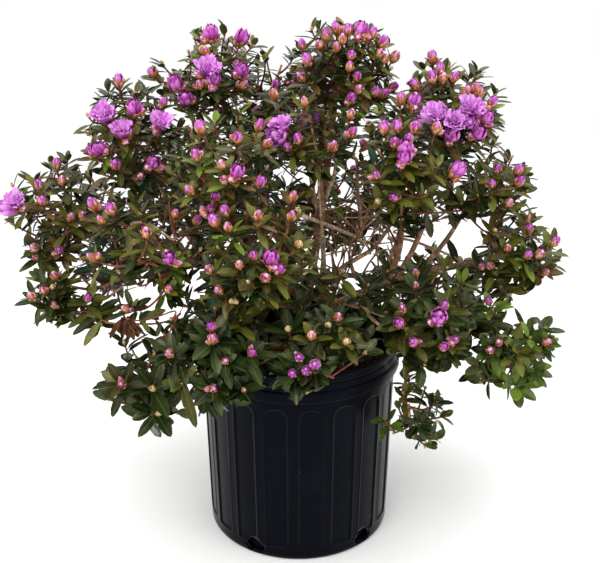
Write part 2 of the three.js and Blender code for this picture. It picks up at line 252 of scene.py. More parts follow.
# Rows of the pot's wall as radius and height: under the foot, up the side, round the rim and down inside
foot_rows = [(FLOOR_DISC_RADIUS, 0), (POT_FOOT_RADIUS, 0), (134.6, 1.2), (136.3, 3.2), (POT_BASE_RADIUS, 6)]
side_heights = [10, 14, 17, 18.5, 20, 21.5, 23, 25, 30]
side_heights += list(np.arange(45, 226, 15)) + list(np.arange(228, 252, 1.5)) + [254, 257]
rim_rows = [(142.3, 258.5), (140.9, 260), (140.8, 261.8), (149.0, POT_RIM_FOOT), (149.8, 262.6)]
rim_rows += [(POT_RIM_RADIUS, 263.6), (150.2, 270), (POT_RIM_RADIUS, 276.8), (149.4, 278.2), (148.3, 279.2)]
rim_rows += [(148.0, 281), (148.0, 288.4), (147.2, 289.2), (147.2, 290.4), (148.0, 291.2), (148.2, 298)]
rim_rows += [(148.1, 300.2), (147.6, 301.5), (146.8, POT_HEIGHT), (145.9, 301.6), (145.4, 300.4)]
inside_rows = [(143.0, 289), (138.0, POT_RIM_FOOT), (136.4, 190), (134.2, 80), (132.6, 8)]
inside_rows += [(129.0, POT_WALL), (FLOOR_DISC_RADIUS, POT_WALL)]


def side_radius(height):
    """The pot's outside radius on its ribs."""
    rise = (height - PANEL_BOTTOM) / (PANEL_TOP - PANEL_BOTTOM)
    return POT_BASE_RADIUS + (POT_SHOULDER_RADIUS - POT_BASE_RADIUS) * min(max(rise, 0), 1)


profile = foot_rows + [(side_radius(h), h) for h in side_heights] + rim_rows + inside_rows
# Degrees across one panel and the rib beside it, close together where the panel's edge bends
near_edge = [-0.6, -0.3, 0, 0.35, 0.7, 1.05]
offsets = near_edge + list(np.arange(1.5, 12.6, 0.925)) + [PANEL_WIDTH - e for e in near_edge[::-1]]
offsets += [15.8, 17.0, 18.2]
pitch = 360 / PANEL_COUNT
bearings = np.array([pitch * panel + offset for panel in range(PANEL_COUNT) for offset in offsets])
from_middle = np.tile(np.array(offsets) - PANEL_WIDTH / 2, PANEL_COUNT)
pot_points = []
for row, (radius, height) in enumerate(profile):
    radii = np.full(len(bearings), float(radius))
    if len(foot_rows) <= row < len(foot_rows) + len(side_heights):
        across = np.abs(np.radians(from_middle)) * radius - math.radians(PANEL_WIDTH / 2) * radius
        upper = height > (PANEL_TOP + PANEL_BOTTOM) / 2
        corner = PANEL_TOP_CORNER if upper else PANEL_BOTTOM_CORNER
        beyond = height - PANEL_TOP if upper else PANEL_BOTTOM - height
        out = np.stack([across + corner, np.full(len(across), beyond + corner)])
        edge = np.minimum(out.max(axis=0), 0) + np.linalg.norm(np.maximum(out, 0), axis=0) - corner
        depth = np.clip(-edge / PANEL_EASE, 0, 1)
        radii -= PANEL_SUNK * depth * depth * (3 - 2 * depth)
        radii += PANEL_BEAD * np.exp(-(((edge - PANEL_BEAD_PLACE) / PANEL_BEAD_PLACE) ** 2))
    turned = np.radians(bearings)
    pot_points.append(
        np.stack([radii * np.sin(turned), -radii * np.cos(turned), np.full(len(radii), height)], axis=1)
    )
pot_shape = Gathered()
pot_columns = len(bearings)
pot_faces = [grid_faces(len(profile), pot_columns), *end_faces(len(profile), pot_columns)]
pot_shape.add(np.concatenate(pot_points), pot_faces)

# Polyethylene, blow-moulded: near black with a blue cast, a satin skin under a film of dust that goes pale
# where it is seen edge-on, faint flow lines down the side and a few pale scuffs from handling.
polyethylene, shader = new_material(
    "black_polyethylene",
    Roughness=0.3,
    IOR=1.5,
    Specular_IOR_Level=0.058,
    Specular_Tint=linear("#ccd6ff"),
    Sheen_Weight=0.24,
    Sheen_Roughness=0.3,
    Sheen_Tint=linear("#f3f2f0"),
)
place = add_node(polyethylene, "ShaderNodeTexCoord").outputs["Object"]
stretched = add_node(
    polyethylene, "ShaderNodeMapping", {"Vector": place, "Scale": (1, 1, 0.12)}
).outputs["Vector"]
flow_lines = add_node(
    polyethylene, "ShaderNodeTexNoise", {"Vector": stretched, "Scale": 1 / (25 * MM), "Detail": 4}
)
dust = add_node(
    polyethylene,
    "ShaderNodeTexNoise",
    {"Vector": place, "Scale": 1 / (90 * MM), "Detail": 6, "Roughness": 0.7},
)
skin = blend_of(
    polyethylene, [(0.3, "#030407"), (0.55, "#05060a"), (0.8, "#0f0f14")], dust.outputs["Fac"]
)
scuffs = add_node(
    polyethylene, "ShaderNodeTexNoise", {"Vector": place, "Scale": 1 / (11 * MM), "Detail": 2}
)
scuffed = add_node(
    polyethylene,
    "ShaderNodeMapRange",
    {"Value": scuffs.outputs["Fac"], "From Min": 0.76, "From Max": 0.82, "To Max": 0.5},
).outputs["Result"]
worn = add_node(
    polyethylene,
    "ShaderNodeMix",
    {"Factor": scuffed, "A": skin, "B": linear("#8d9096")},
    data_type="RGBA",
)
polyethylene.node_tree.links.new(worn.outputs["Result"], shader.inputs["Base Color"])
gloss = add_node(
    polyethylene,
    "ShaderNodeMapRange",
    {"Value": flow_lines.outputs["Fac"], "From Min": 0.3, "From Max": 0.7, "To Min": 0.24, "To Max": 0.38},
)
polyethylene.node_tree.links.new(gloss.outputs["Result"], shader.inputs["Roughness"])
ripple = add_node(
    polyethylene,
    "ShaderNodeBump",
    {"Height": flow_lines.outputs["Fac"], "Strength": 0.25, "Distance": 1.2 * MM},
)
polyethylene.node_tree.links.new(ripple.outputs["Normal"], shader.inputs["Normal"])

pot = pot_shape.piece("nursery_pot", [polyethylene], sharp=32)
torn = Gathered()
for drain in range(DRAIN_COUNT):
    draw = numbers(DRAIN_SEED + drain)
    bearing = math.radians(DRAIN_FIRST_BEARING + 360 / DRAIN_COUNT * drain)
    outward = np.array([math.sin(bearing), -math.cos(bearing), 0])
    sideways = np.array([math.cos(bearing), math.sin(bearing), 0])
    ring = []
    for step in range(DRAIN_CORNERS):
        turn = 2 * math.pi * step / DRAIN_CORNERS
        reach = DRAIN_RADIUS * (0.9 + 0.22 * draw())
        lift = DRAIN_HEIGHT + reach * DRAIN_SQUASH * math.sin(turn)
        ring.append(reach * math.cos(turn) * sideways + max(lift, DRAIN_SILL) * UP)
    ring = np.array(ring)
    ends = np.concatenate([ring + reach * outward for reach in DRAIN_CUT])
    torn.add(ends, [grid_faces(2, DRAIN_CORNERS), *end_faces(2, DRAIN_CORNERS)])
drain_holes = torn.piece("drain_holes", [polyethylene])
cut = pot.modifiers.new("drains", "BOOLEAN")
cut.operation = "DIFFERENCE"
cut.object = drain_holes
cut.solver = "EXACT"
whole = bpy.data.meshes.new_from_object(pot.evaluated_get(bpy.context.evaluated_depsgraph_get()))
pot.modifiers.clear()
pot.data = whole
bpy.data.objects.remove(drain_holes)
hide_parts("pot")

# Potting mix. Composted bark and peat, filled to below the rim band and mounded a little round the stem,
# with loose bark chips and crumbs on top.
MIX_FOOT = 2.9
MIX_EDGE_HEIGHT = 256
MIX_MIDDLE_HEIGHT = 266
MIX_RADIUS = 137.2
MIX_FOOT_RADIUS = 122
MIX_MOUND_RADIUS = 36
MIX_ROWS = 34
MIX_COLUMNS = 120
COARSE_LUMP, COARSE_SPREAD = 2.6, 16
FINE_LUMP, FINE_SPREAD = 1.4, 5
CHIP_COUNT = 1500
CHIP_EDGE_ROOM = 5
DRY_CHIPS = 0.4
CHIP_SEED = 7


def mix_height(radius):
    """The level of the mix at a distance from the pot's axis, without its lumps."""
    fall = min(max((radius - MIX_MOUND_RADIUS) / (MIX_RADIUS - MIX_MOUND_RADIUS), 0), 1)
    return MIX_MIDDLE_HEIGHT + (MIX_EDGE_HEIGHT - MIX_MIDDLE_HEIGHT) * fall


mix_points = [(0, 0, MIX_MIDDLE_HEIGHT)]
for row in range(1, MIX_ROWS):
    radius = MIX_RADIUS * row / (MIX_ROWS - 1)
    for column in range(MIX_COLUMNS):
        turn = 2 * math.pi * column / MIX_COLUMNS
        x, y = radius * math.sin(turn), -radius * math.cos(turn)
        coarse = COARSE_LUMP * noise.noise(Vector((x, y, 0)) / COARSE_SPREAD)
        fine = FINE_LUMP * noise.noise(Vector((x, y, 50)) / FINE_SPREAD)
        mix_points.append((x, y, mix_height(radius) + (coarse + fine)))
for column in range(MIX_COLUMNS):
    turn = 2 * math.pi * column / MIX_COLUMNS
    mix_points.append((MIX_FOOT_RADIUS * math.sin(turn), -MIX_FOOT_RADIUS * math.cos(turn), MIX_FOOT))
ring_faces = grid_faces(MIX_ROWS, MIX_COLUMNS)[:, ::-1] + 1
middle_faces = [(0, 1 + column, 1 + (column + 1) % MIX_COLUMNS) for column in range(MIX_COLUMNS)]
mix_under = (1 + (MIX_ROWS - 1) * MIX_COLUMNS + np.arange(MIX_COLUMNS))[None, ::-1]
mix_shape = Gathered()
mix_shape.add(np.array(mix_points), [ring_faces, np.array(middle_faces), mix_under])
draw = numbers(CHIP_SEED)
CHIP_CORNERS = np.array([(x, y, z) for z in (-1, 1) for y in (-1, 1) for x in (-1, 1)])
CHIP_FACES = np.array(
    [(0, 2, 3, 1), (4, 5, 7, 6), (0, 1, 5, 4), (2, 6, 7, 3), (0, 4, 6, 2), (1, 3, 7, 5)]
)
for _ in range(CHIP_COUNT):
    radius = (MIX_RADIUS - CHIP_EDGE_ROOM) * math.sqrt(draw())
    turn = 2 * math.pi * draw()
    size = 1 + 2.2 * draw() ** 2
    extent = np.array([size * (1.2 + 1.6 * draw()), size * (0.6 + 0.6 * draw()), 0.35 * size + 0.2])
    corners = CHIP_CORNERS * extent * (0.65 + 0.5 * np.array([[draw()] for _ in range(8)]))
    spin, tilt = 2 * math.pi * draw(), 0.9 * (draw() - 0.5)
    level = np.array([[math.cos(spin), math.sin(spin), 0], [-math.sin(spin), math.cos(spin), 0], [0, 0, 1]])
    tipped = np.array([[1, 0, 0], [0, math.cos(tilt), math.sin(tilt)], [0, -math.sin(tilt), math.cos(tilt)]])
    spot = np.array([radius * math.sin(turn), -radius * math.cos(turn), 0])
    spot[2] = mix_height(radius) + 0.8 + 1.4 * draw()
    mix_shape.add(corners @ tipped @ level + spot, [CHIP_FACES], 1 if draw() < 1 - DRY_CHIPS else 2)


def grained(material, shader, grain, detail, colours, relief, marks=(), span=(0, 1), rough=0.5):
    """Gives a surface its colours and its relief by a grain in millimetres. Marks that the mesh holds, such
    as how near a point is to a petal's edge, move the colour along; a span then brings the sum to 0 to 1."""
    place = add_node(material, "ShaderNodeTexCoord").outputs["Object"]
    cloud = add_node(
        material,
        "ShaderNodeTexNoise",
        {"Vector": place, "Scale": 1 / (grain * MM), "Detail": detail, "Roughness": rough},
    ).outputs["Fac"]
    level = cloud
    for mark in marks:
        held = add_node(material, "ShaderNodeAttribute", attribute_name=mark).outputs["Fac"]
        level = add_node(material, "ShaderNodeMath", {0: held, 1: level}, operation="ADD").outputs["Value"]
    if marks:
        reach = {"Value": level, "From Min": span[0], "From Max": span[1]}
        level = add_node(material, "ShaderNodeMapRange", reach).outputs["Result"]
    shades = blend_of(material, colours, level)
    material.node_tree.links.new(shades, shader.inputs["Base Color"])
    strength, height = relief
    raised = add_node(
        material, "ShaderNodeBump", {"Height": cloud, "Strength": strength, "Distance": height * MM}
    )
    material.node_tree.links.new(raised.outputs["Normal"], shader.inputs["Normal"])
    return shades


# Composted bark: dull and crumbly, with red-brown flecks. Lower down it turns nearly black, a painted shade
# for the dark inside of the pot where it shows through the drain holes.
PAINTED_SHADE_BELOW, PAINTED_SHADE_ENDS_ABOVE = 150, 245
compost, shader = new_material("composted_bark", Roughness=0.95, Specular_IOR_Level=0.2)
crumbs = [(0.3, "#080605"), (0.52, "#170f0a"), (0.75, "#33211a")]
earth = grained(compost, shader, 6, 8, crumbs, (0.9, 2), rough=0.75)
place = add_node(compost, "ShaderNodeTexCoord").outputs["Object"]
height = add_node(compost, "ShaderNodeSeparateXYZ", {"Vector": place}).outputs["Z"]
# Painted shade: from 245 mm down to 150 mm the mix fades to near black, whatever the light.
shade_fade = add_node(
    compost,
    "ShaderNodeMapRange",
    {"Value": height, "From Min": PAINTED_SHADE_BELOW * MM, "From Max": PAINTED_SHADE_ENDS_ABOVE * MM},
)
painted_shade = add_node(
    compost,
    "ShaderNodeMix",
    {"Factor": shade_fade.outputs["Result"], "A": linear("#040404"), "B": earth},
    data_type="RGBA",
)
compost.node_tree.links.new(painted_shade.outputs["Result"], shader.inputs["Base Color"])

# Bark chips: split pine bark, dry and matt, some dark and damp and some bleached to a red-brown.
chip_materials = []
for name, dark, pale in (("damp_bark_chip", "#130d09", "#2b1c13"), ("dry_bark_chip", "#35231a", "#5c402e")):
    chip_bark, shader = new_material(name, Roughness=0.9, Specular_IOR_Level=0.25)
    grained(chip_bark, shader, 3, 5, [(0.3, dark), (0.7, pale)], (0.6, 0.8))
    chip_materials.append(chip_bark)

mix = mix_shape.piece("potting_mix_surface", [compost, *chip_materials], sharp=30)
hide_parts("potting_mix")

# Trunk. One short old stem that leans a little and flares into the mix that it was planted in; its bark is
# rough and flakes in small plates.
TRUNK_FOOT = 266.3
TRUNK_HEIGHT = 52
TRUNK_RADII = (17, 12)
TRUNK_FLARE = 9
TRUNK_FLARE_FADE = 7
TRUNK_LEAN = (6, -5)
TRUNK_SUNK = 6
TRUNK_ROOT_SWELL = 3
TRUNK_RINGS = 40
TRUNK_SIDES = 44
TRUNK_RELIEF = 1.3
TRUNK_PLATES = 7


class Bend:
    """A curve that leaves one point towards a second and ends at a third."""

    def __init__(self, start, knee, end):
        self.start, self.knee, self.end = (np.asarray(p, dtype=float) for p in (start, knee, end))

    def at(self, along):
        along = np.asarray(along, dtype=float)[..., None]
        back = 1 - along
        return back * back * self.start + 2 * back * along * self.knee + along * along * self.end

    def heading(self, along):
        return unit((1 - along) * (self.knee - self.start) + along * (self.end - self.knee))

    def length(self):
        steps = self.at(np.linspace(0, 1, 20))
        return np.linalg.norm(np.diff(steps, axis=0), axis=1).sum()


def beside(direction):
    """A direction square to another."""
    other = UP if abs(direction[2]) < 0.9 else RIGHTWARD
    return unit(np.cross(other, direction))


def round_about(axis, side, turns):
    """The directions square to an axis at turns from one side of it."""
    return np.cos(turns)[..., None] * side + np.sin(turns)[..., None] * np.cross(axis, side)


def tube(path, radii, sides, relief=0, grain=6, seed=0):
    """A closed tube along a path, with bark relief raised in plates that run lengthwise."""
    path = np.asarray(path)
    headings = np.gradient(path, axis=0)
    headings /= np.linalg.norm(headings, axis=1)[:, None]
    side = beside(headings[0])
    walked = np.concatenate([[0], np.cumsum(np.linalg.norm(np.diff(path, axis=0), axis=1))])
    turns = 2 * np.pi * np.arange(sides) / sides
    rings = []
    for middle, heading, radius, along in zip(path, headings, radii, walked):
        side = unit(side - heading * (side @ heading))
        reach = np.full(sides, float(radius))
        if relief:
            for column, turn in enumerate(turns):
                spot = Vector((math.cos(turn) * radius, math.sin(turn) * radius, 0.45 * along + 31 * seed))
                plates = 1 - 2 * abs(noise.noise(spot / grain))
                swell = noise.noise(Vector((0.4 * seed, along / 22, math.cos(turn))))
                reach[column] += relief * (plates - 0.5 + 0.8 * swell)
        rings.append(middle + reach[:, None] * round_about(heading, side, turns))
    return np.concatenate(rings), [grid_faces(len(path), sides), *end_faces(len(path), sides)]


trunk_curve = Bend(
    (0, 0, TRUNK_FOOT),
    (0, 0, TRUNK_FOOT + TRUNK_HEIGHT / 2),
    (*TRUNK_LEAN, TRUNK_FOOT + TRUNK_HEIGHT),
)
along = np.linspace(0, 1, TRUNK_RINGS)
trunk_path = np.concatenate([[(0, 0, TRUNK_FOOT - TRUNK_SUNK)], trunk_curve.at(along)])
trunk_radii = TRUNK_RADII[0] + (TRUNK_RADII[1] - TRUNK_RADII[0]) * along
trunk_radii = trunk_radii + TRUNK_FLARE * np.exp(-TRUNK_FLARE_FADE * along)
old_limbs = Gathered()
trunk_radii = np.concatenate([[trunk_radii[0] + TRUNK_ROOT_SWELL], trunk_radii])
old_limbs.add(*tube(trunk_path, trunk_radii, TRUNK_SIDES, TRUNK_RELIEF, TRUNK_PLATES, 1))

# Boughs. Seven thick limbs leave the trunk and twenty thinner ones leave those, each bending up and out
# to the foliage that it carries; the young ones still have smooth, brown bark.
MAIN_BOUGH_RADII = (7, 4.6)
SIDE_BOUGH_RADII = (4.4, 2.6)
MAIN_BOUGH_SIDES, MAIN_BOUGH_RELIEF = 16, 0.5
SIDE_BOUGH_SIDES, SIDE_BOUGH_RELIEF = 10, 0.3
BOUGH_PLATES = 4
BOUGH_RING_SPACING = 4
BOUGH_RISE = 0.5
BOUGH_ENTRY = 0.5
BOUGH_COLLAR = 0.35
BOUGH_COLLAR_LENGTH = 9
# For each foliage mass and its bough: bearing from the front in degrees, then reach from the pot's axis,
# height and radius, then the limb that carries it and how far along that limb it leaves
MASSES = [
    ("left", -90, 338, 490, 90, "trunk", 0.8),
    ("left_mid", -55, 225, 482, 88, "trunk", 0.9),
    ("front_mid", -16, 196, 490, 84, "trunk", 0.85),
    ("top_left", -94, 128, 676, 84, "trunk", 0.98),
    ("top_right_mid", 90, 54, 682, 88, "trunk", 1),
    ("right", 94, 308, 420, 84, "trunk", 0.95),
    ("back_low", -158, 262, 398, 98, "trunk", 0.75),
    ("left_low", -86, 314, 376, 88, "left", 0.55),
    ("upper_left", -82, 222, 602, 88, "left", 0.5),
    ("low_left", -56, 252, 296, 84, "left_mid", 0.35),
    ("front_left", -28, 222, 366, 84, "left_mid", 0.5),
    ("front", 7, 192, 356, 84, "front_mid", 0.4),
    ("front_upper", -34, 158, 590, 84, "front_mid", 0.6),
    ("front_right", 53, 208, 366, 78, "front_mid", 0.5),
    ("top_mid", -148, 84, 648, 82, "top_left", 0.6),
    ("back_left", -128, 240, 510, 98, "top_left", 0.4),
    ("centre_upper", 18, 76, 597, 78, "top_right_mid", 0.55),
    ("back_mid", 178, 195, 560, 96, "top_right_mid", 0.4),
    ("top_right", 87, 200, 630, 87, "right", 0.55),
    ("right_upper", 58, 154, 578, 84, "right", 0.5),
    ("right_mid", 90, 258, 526, 78, "right", 0.65),
    ("right_low", 78, 294, 315, 90, "right", 0.6),
    ("droop", 54, 190, 226, 70, "right", 0.5),
    ("back_right", 133, 235, 545, 96, "right", 0.45),
    ("back_centre", 162, 250, 425, 92, "back_low", 0.55),
    ("back_left_low", -119, 310, 395, 96, "back_low", 0.5),
    ("back_right_low", 127, 290, 300, 86, "back_low", 0.4),
]


def station(bearing, reach, height):
    """The point at a bearing from the front, a reach from the pot's axis and a height."""
    turn = math.radians(bearing)
    return np.array([reach * math.sin(turn), -reach * math.cos(turn), height])


curves = {"trunk": trunk_curve}
centres = {}
reaches = {}
side_limbs = Gathered()
for order, (name, bearing, reach, height, radius, carrier, at) in enumerate(MASSES):
    main = carrier == "trunk"
    start = curves[carrier].at(at)
    centre = station(bearing, reach, height)
    away = unit(centre - start)
    entry = centre - BOUGH_ENTRY * radius * away
    rise = unit(BOUGH_RISE * curves[carrier].heading(at) + away)
    knee = start + rise * 0.5 * np.linalg.norm(entry - start)
    curves[name] = Bend(start, knee, entry)
    centres[name] = centre
    reaches[name] = radius
    thick, thin = MAIN_BOUGH_RADII if main else SIDE_BOUGH_RADII
    sides = MAIN_BOUGH_SIDES if main else SIDE_BOUGH_SIDES
    relief = MAIN_BOUGH_RELIEF if main else SIDE_BOUGH_RELIEF
    rings = int(curves[name].length() / BOUGH_RING_SPACING)
    along = np.linspace(0, 1, rings)
    collar = BOUGH_COLLAR * thick * np.exp(-along * curves[name].length() / BOUGH_COLLAR_LENGTH)
    swollen = thick + (thin - thick) * along + collar
    shape = tube(curves[name].at(along), swollen, sides, relief, BOUGH_PLATES, order + 2)
    (old_limbs if main else side_limbs).add(*shape)

# Old bark: brown to a dusty tan, cracked into small plates with darker lines between them.
old_bark, shader = new_material("old_flaking_bark", Roughness=0.88, Specular_IOR_Level=0.3)
patches = [(0.28, "#553c26"), (0.46, "#8f6d4a"), (0.6, "#ad8b68"), (0.8, "#cdb08a")]
bark_shades = grained(old_bark, shader, 14, 6, patches, (0.7, 1.5), rough=0.65)
place = add_node(old_bark, "ShaderNodeTexCoord").outputs["Object"]
cracks = add_node(
    old_bark, "ShaderNodeTexVoronoi", {"Vector": place, "Scale": 1 / (5 * MM)}, feature="DISTANCE_TO_EDGE"
)
cracked = add_node(
    old_bark,
    "ShaderNodeMapRange",
    {"Value": cracks.outputs["Distance"], "From Max": 0.16, "To Min": 0.75, "To Max": 0},
)
lined = add_node(
    old_bark,
    "ShaderNodeMix",
    {"Factor": cracked.outputs["Result"], "A": bark_shades, "B": linear("#2a2018")},
    data_type="RGBA",
)
old_bark.node_tree.links.new(lined.outputs["Result"], shader.inputs["Base Color"])

# Young bark: thin and smooth, red-brown to tan, with fine streaks and a slight sheen.
young_materials = []
for name, dark, middle, pale in (
    ("tan_limb_bark", "#5c3f2a", "#987050", "#c29c78"),
    ("brown_twig_bark", "#603e26", "#9e7150", "#cca37c"),
    ("red_shoot_bark", "#3c1a13", "#6f3524", "#9c5a3e"),
    # The pale stem bark is a lightened copy of the tan bark: painted light for the bare stems and some tangle
    # twigs in the open middle.
    ("pale_stem_bark", "#8a6a4c", "#c6a685", "#ead3b2"),
):
    young_bark, shader = new_material(name, Roughness=0.6, Specular_IOR_Level=0.4)
    grained(young_bark, shader, 9, 5, [(0.3, dark), (0.5, middle), (0.72, pale)], (0.4, 0.6))
    young_materials.append(young_bark)
tan_bark, twig_bark, shoot_bark, painted_light_bark = young_materials

trunk_and_boughs = old_limbs.piece("trunk_and_boughs", [old_bark], sharp=70)
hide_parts("trunk", *(row[0] + "_bough" for row in MASSES if row[5] == "trunk"))
side_boughs = side_limbs.piece("side_boughs", [tan_bark], sharp=70)
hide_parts(*(row[0] + "_bough" for row in MASSES if row[5] != "trunk"))

# Flower heads, as the photograph shows them from the front. Each names the pixel in which a shoot of the
# nearest foliage ends, by how far its buds have opened; then come the openings that show sky or bare wood.
OPEN_HEADS = [
    (16, 201), (103, 116), (122, 132), (162, 124), (205, 69), (282, 127), (438, 116), (455, 121),
    (471, 109),
]
HALF_OPEN_HEADS = [
    (241, 70), (174, 85), (184, 98), (135, 108), (99, 148), (237, 172), (270, 258), (405, 156),
    (456, 170), (410, 103), (439, 317), (242, 38), (214, 78), (212, 34), (361, 29), (452, 134),
    (478, 133), (487, 117), (154, 163), (171, 257), (406, 146),
]
COLOURED_HEADS = [
    (119, 81), (151, 72), (163, 101), (115, 164), (57, 163), (42, 200), (110, 208), (60, 249), (88, 297),
    (38, 183), (200, 127), (238, 136), (260, 124), (287, 145), (298, 138), (195, 154), (276, 84),
    (224, 210), (212, 207), (279, 269), (326, 34), (301, 43), (308, 60), (358, 75), (351, 99), (377, 91),
    (385, 93), (394, 86), (397, 99), (351, 54), (353, 132), (384, 128), (398, 127), (415, 127),
    (394, 141), (409, 138), (394, 196), (376, 174), (498, 168), (493, 183), (520, 181), (519, 170),
    (530, 227), (528, 254), (556, 241), (493, 102), (445, 305), (414, 342), (444, 347), (456, 339),
    (252, 352), (299, 357), (315, 365), (212, 326), (216, 196), (415, 84), (400, 323), (336, 26),
    (383, 42), (93, 205), (261, 182), (215, 220), (254, 254), (292, 373), (307, 371), (489, 300),
    (198, 219), (432, 57), (441, 67), (432, 77), (454, 76), (92, 152), (348, 28), (372, 33),
]
PINK_HEADS = [
    (63, 180), (70, 217), (34, 247), (92, 256), (54, 275), (32, 296), (169, 289), (208, 268), (218, 290),
    (239, 264), (265, 277), (213, 388), (225, 360), (311, 335), (169, 353), (213, 338), (402, 309),
    (415, 284), (510, 203), (528, 218), (507, 247), (546, 271), (481, 266), (491, 266), (380, 52),
    (395, 57), (343, 38), (302, 76), (304, 100), (334, 146), (359, 89), (225, 179), (258, 214),
    (222, 163), (228, 226), (101, 219), (140, 176), (338, 317), (443, 78), (437, 128), (477, 122),
    (475, 88), (206, 52), (320, 44), (336, 46), (115, 128), (200, 84), (243, 84), (268, 142), (293, 196),
    (190, 190), (202, 214), (44, 290), (146, 232), (292, 216), (358, 232), (386, 58), (82, 214),
    (540, 254), (176, 212), (122, 384), (126, 309), (499, 342), (547, 342), (466, 91), (479, 93),
    (36, 256), (54, 304), (416, 272), (276, 96), (350, 66), (352, 114), (490, 350), (452, 344),
]
TAN_HEADS = [
    (298, 209), (299, 244), (378, 201), (375, 278), (153, 388), (158, 413), (495, 230), (202, 48),
    (216, 81), (247, 281), (288, 328), (328, 324), (347, 341), (244, 390), (488, 108), (52, 286),
    (232, 301),
]
LEAFY_HEADS = [
    (440, 201), (462, 204), (478, 196), (425, 196), (390, 70), (252, 46), (240, 320), (455, 100),
    (518, 352), (530, 338), (515, 386), (543, 330), (532, 369), (489, 320), (136, 96), (148, 92),
    (108, 92),
]
SKY = [
    (329, 162, 6), (331, 171, 5), (350, 162, 5), (314, 183, 6), (345, 192, 8), (338, 186, 4),
    (370, 234, 4), (365, 260, 5), (347, 250, 4), (338, 261, 3), (440, 232, 9), (455, 229, 10),
    (470, 233, 8), (464, 243, 8), (478, 224, 6), (447, 246, 5), (486, 218, 4), (451, 273, 6),
    (442, 287, 5), (424, 294, 4), (135, 291, 8), (151, 295, 8), (165, 311, 6), (178, 302, 4),
    (85, 290, 3), (60, 345, 20), (95, 351, 15), (116, 352, 7), (150, 341, 6), (156, 330, 5),
    (145, 353, 6), (172, 207, 5), (188, 216, 4), (168, 238, 3), (227, 247, 5), (239, 243, 5),
    (257, 236, 4), (273, 235, 5), (197, 258, 4), (146, 257, 5), (110, 265, 7), (106, 244, 5),
    (143, 272, 5), (276, 62, 8), (272, 76, 5), (404, 66, 11), (420, 92, 7), (300, 14, 14), (182, 42, 12),
    (408, 50, 10), (190, 388, 4), (5, 178, 9), (12, 238, 9), (125, 437, 14), (100, 425, 10),
    (148, 444, 8), (95, 410, 8), (400, 462, 14), (425, 462, 14), (443, 452, 7), (388, 442, 6),
    (372, 432, 8), (432, 378, 10), (447, 385, 8), (408, 372, 4), (545, 305, 12), (520, 300, 6),
    (475, 402, 12), (492, 410, 10), (160, 45, 14), (170, 60, 7), (78, 105, 10), (82, 122, 5),
    (520, 150, 10), (512, 135, 7), (355, 6, 9), (330, 8, 9), (378, 12, 9), (180, 440, 9), (30, 165, 9),
    (128, 410, 6), (112, 420, 8), (140, 426, 6), (70, 340, 10), (86, 344, 8), (105, 338, 5),
    (398, 445, 8), (568, 243, 5), (553, 286, 8), (541, 290, 6), (92, 395, 4), (475, 388, 7),
    (495, 395, 7), (455, 375, 7), (5, 228, 6), (118, 58, 12), (80, 140, 7), (130, 349, 6), (121, 360, 4),
]
BARE = [
    (345, 213, 22), (372, 238, 20), (340, 245, 18), (362, 256, 13), (395, 238, 12), (325, 198, 12),
    (350, 184, 10), (345, 381, 16), (371, 373, 15), (388, 363, 9), (330, 396, 12), (350, 406, 18),
    (378, 396, 17), (315, 403, 12), (275, 403, 10), (262, 416, 10), (300, 419, 14), (345, 364, 6),
    (415, 246, 8), (330, 230, 14), (140, 222, 6), (156, 222, 6), (170, 231, 7), (184, 240, 6),
    (150, 234, 5), (126, 250, 4),
]

# Twigs and shoots. In each foliage mass one stem carries on from its bough, forks into twigs, and those
# into red-brown shoots, each ending in a whorl of leaves; leafy side shoots also stand along the boughs.
MIDDLE_OF_PLANT = np.array([0, 0, 400.0])
OUTWARD_LIFT = 0.35
# Twigs of one mass, by how far they turn away from the way that it faces, and the shoots at their ends
SHOOT_TOP = 0.85
SHOOT_FALL = 1.1
SHOOT_UPTURN = 0.7
SHOOT_REACH = 0.52
SHOOTS = 4
FULL_SHOOTS = 5
STEM_RADIUS, STEM_RINGS, STEM_SIDES = 2.4, 9, 8
TWIG_RADII, TWIG_RINGS, TWIG_SIDES = (2.2, 1.5), 7, 6
SHOOT_RADII, SHOOT_RING_SPACING, SHOOT_SIDES = (1.7, 1.2), 7, 5
SHOOT_LEAD = 34
FULL_MASSES = ("left", "top_left", "top_right_mid", "front", "top_right", "right_low")
GOLDEN = math.pi * (3 - math.sqrt(5))
# How deep in a mass heads and leafy tips end, how far apart they stand, and what the hidden ones carry
HEAD_DEPTH = 0.84
TIP_DEPTH = 0.8
TIP_SPACING = 33
LOOSE_SPACINGS = {"low_left": 46, "left_low": 48, "droop": 40, "right_low": 48}
HEAD_SPACING = 7
FILL_POINTS = 170
FILL_FALL = 1.75
FILL_HIDDEN = 110
FILL_STAGES = ((0.24, "coloured"), (0.42, "pink"), (0.48, "tan"), (0.56, "half"), (0.61, "open"))
OPEN_ABOVE = 480
INNER_SHOOTS = 9
INNER_SPACING = 30
INNER_RADII = (1.6, 1.0)
INNER_RINGS = 8
INNER_SAG = 6
INNER_UPTURN = 0.5
# What keeps leaves and heads off the pot, out of the openings and in their own mass
POT_CLEARANCE = 158
RIM_CLEARANCE = 8
BARE_DEPTH = 120
ROOM_ROUND = 20
FORK_DEPTH = 0.8
SPACE_SPARE = 0.3
ASIDE_COST = 4
HEAD_MIDDLE = {"open": 14, "half": 11, "coloured": 9, "pink": 8, "tan": 5, "leafy": 0}
LOW_MASSES = ("low_left", "front_left", "front", "front_right", "right_low", "droop")
FACING = 0.6
HEAD_SEED = 3000
FILL_SEED = 5000
FILL_TIP_SEED = 6000
INNER_SEED = 15000
INNER_TIP_SEED = 16000
order_of = {row[0]: order for order, row in enumerate(MASSES)}
all_centres = np.array([centres[row[0]] for row in MASSES])
all_reaches = np.array([row[4] for row in MASSES], dtype=float)


def in_space(name, point, spare=0.0):
    """True where a point lies within a mass's reach and on its own side of every neighbour."""
    apart = ((point - all_centres) ** 2).sum(axis=1) - all_reaches**2
    own = apart[order_of[name]]
    return own < spare * reaches[name] ** 2 and own <= apart.min() + spare * reaches[name] ** 2


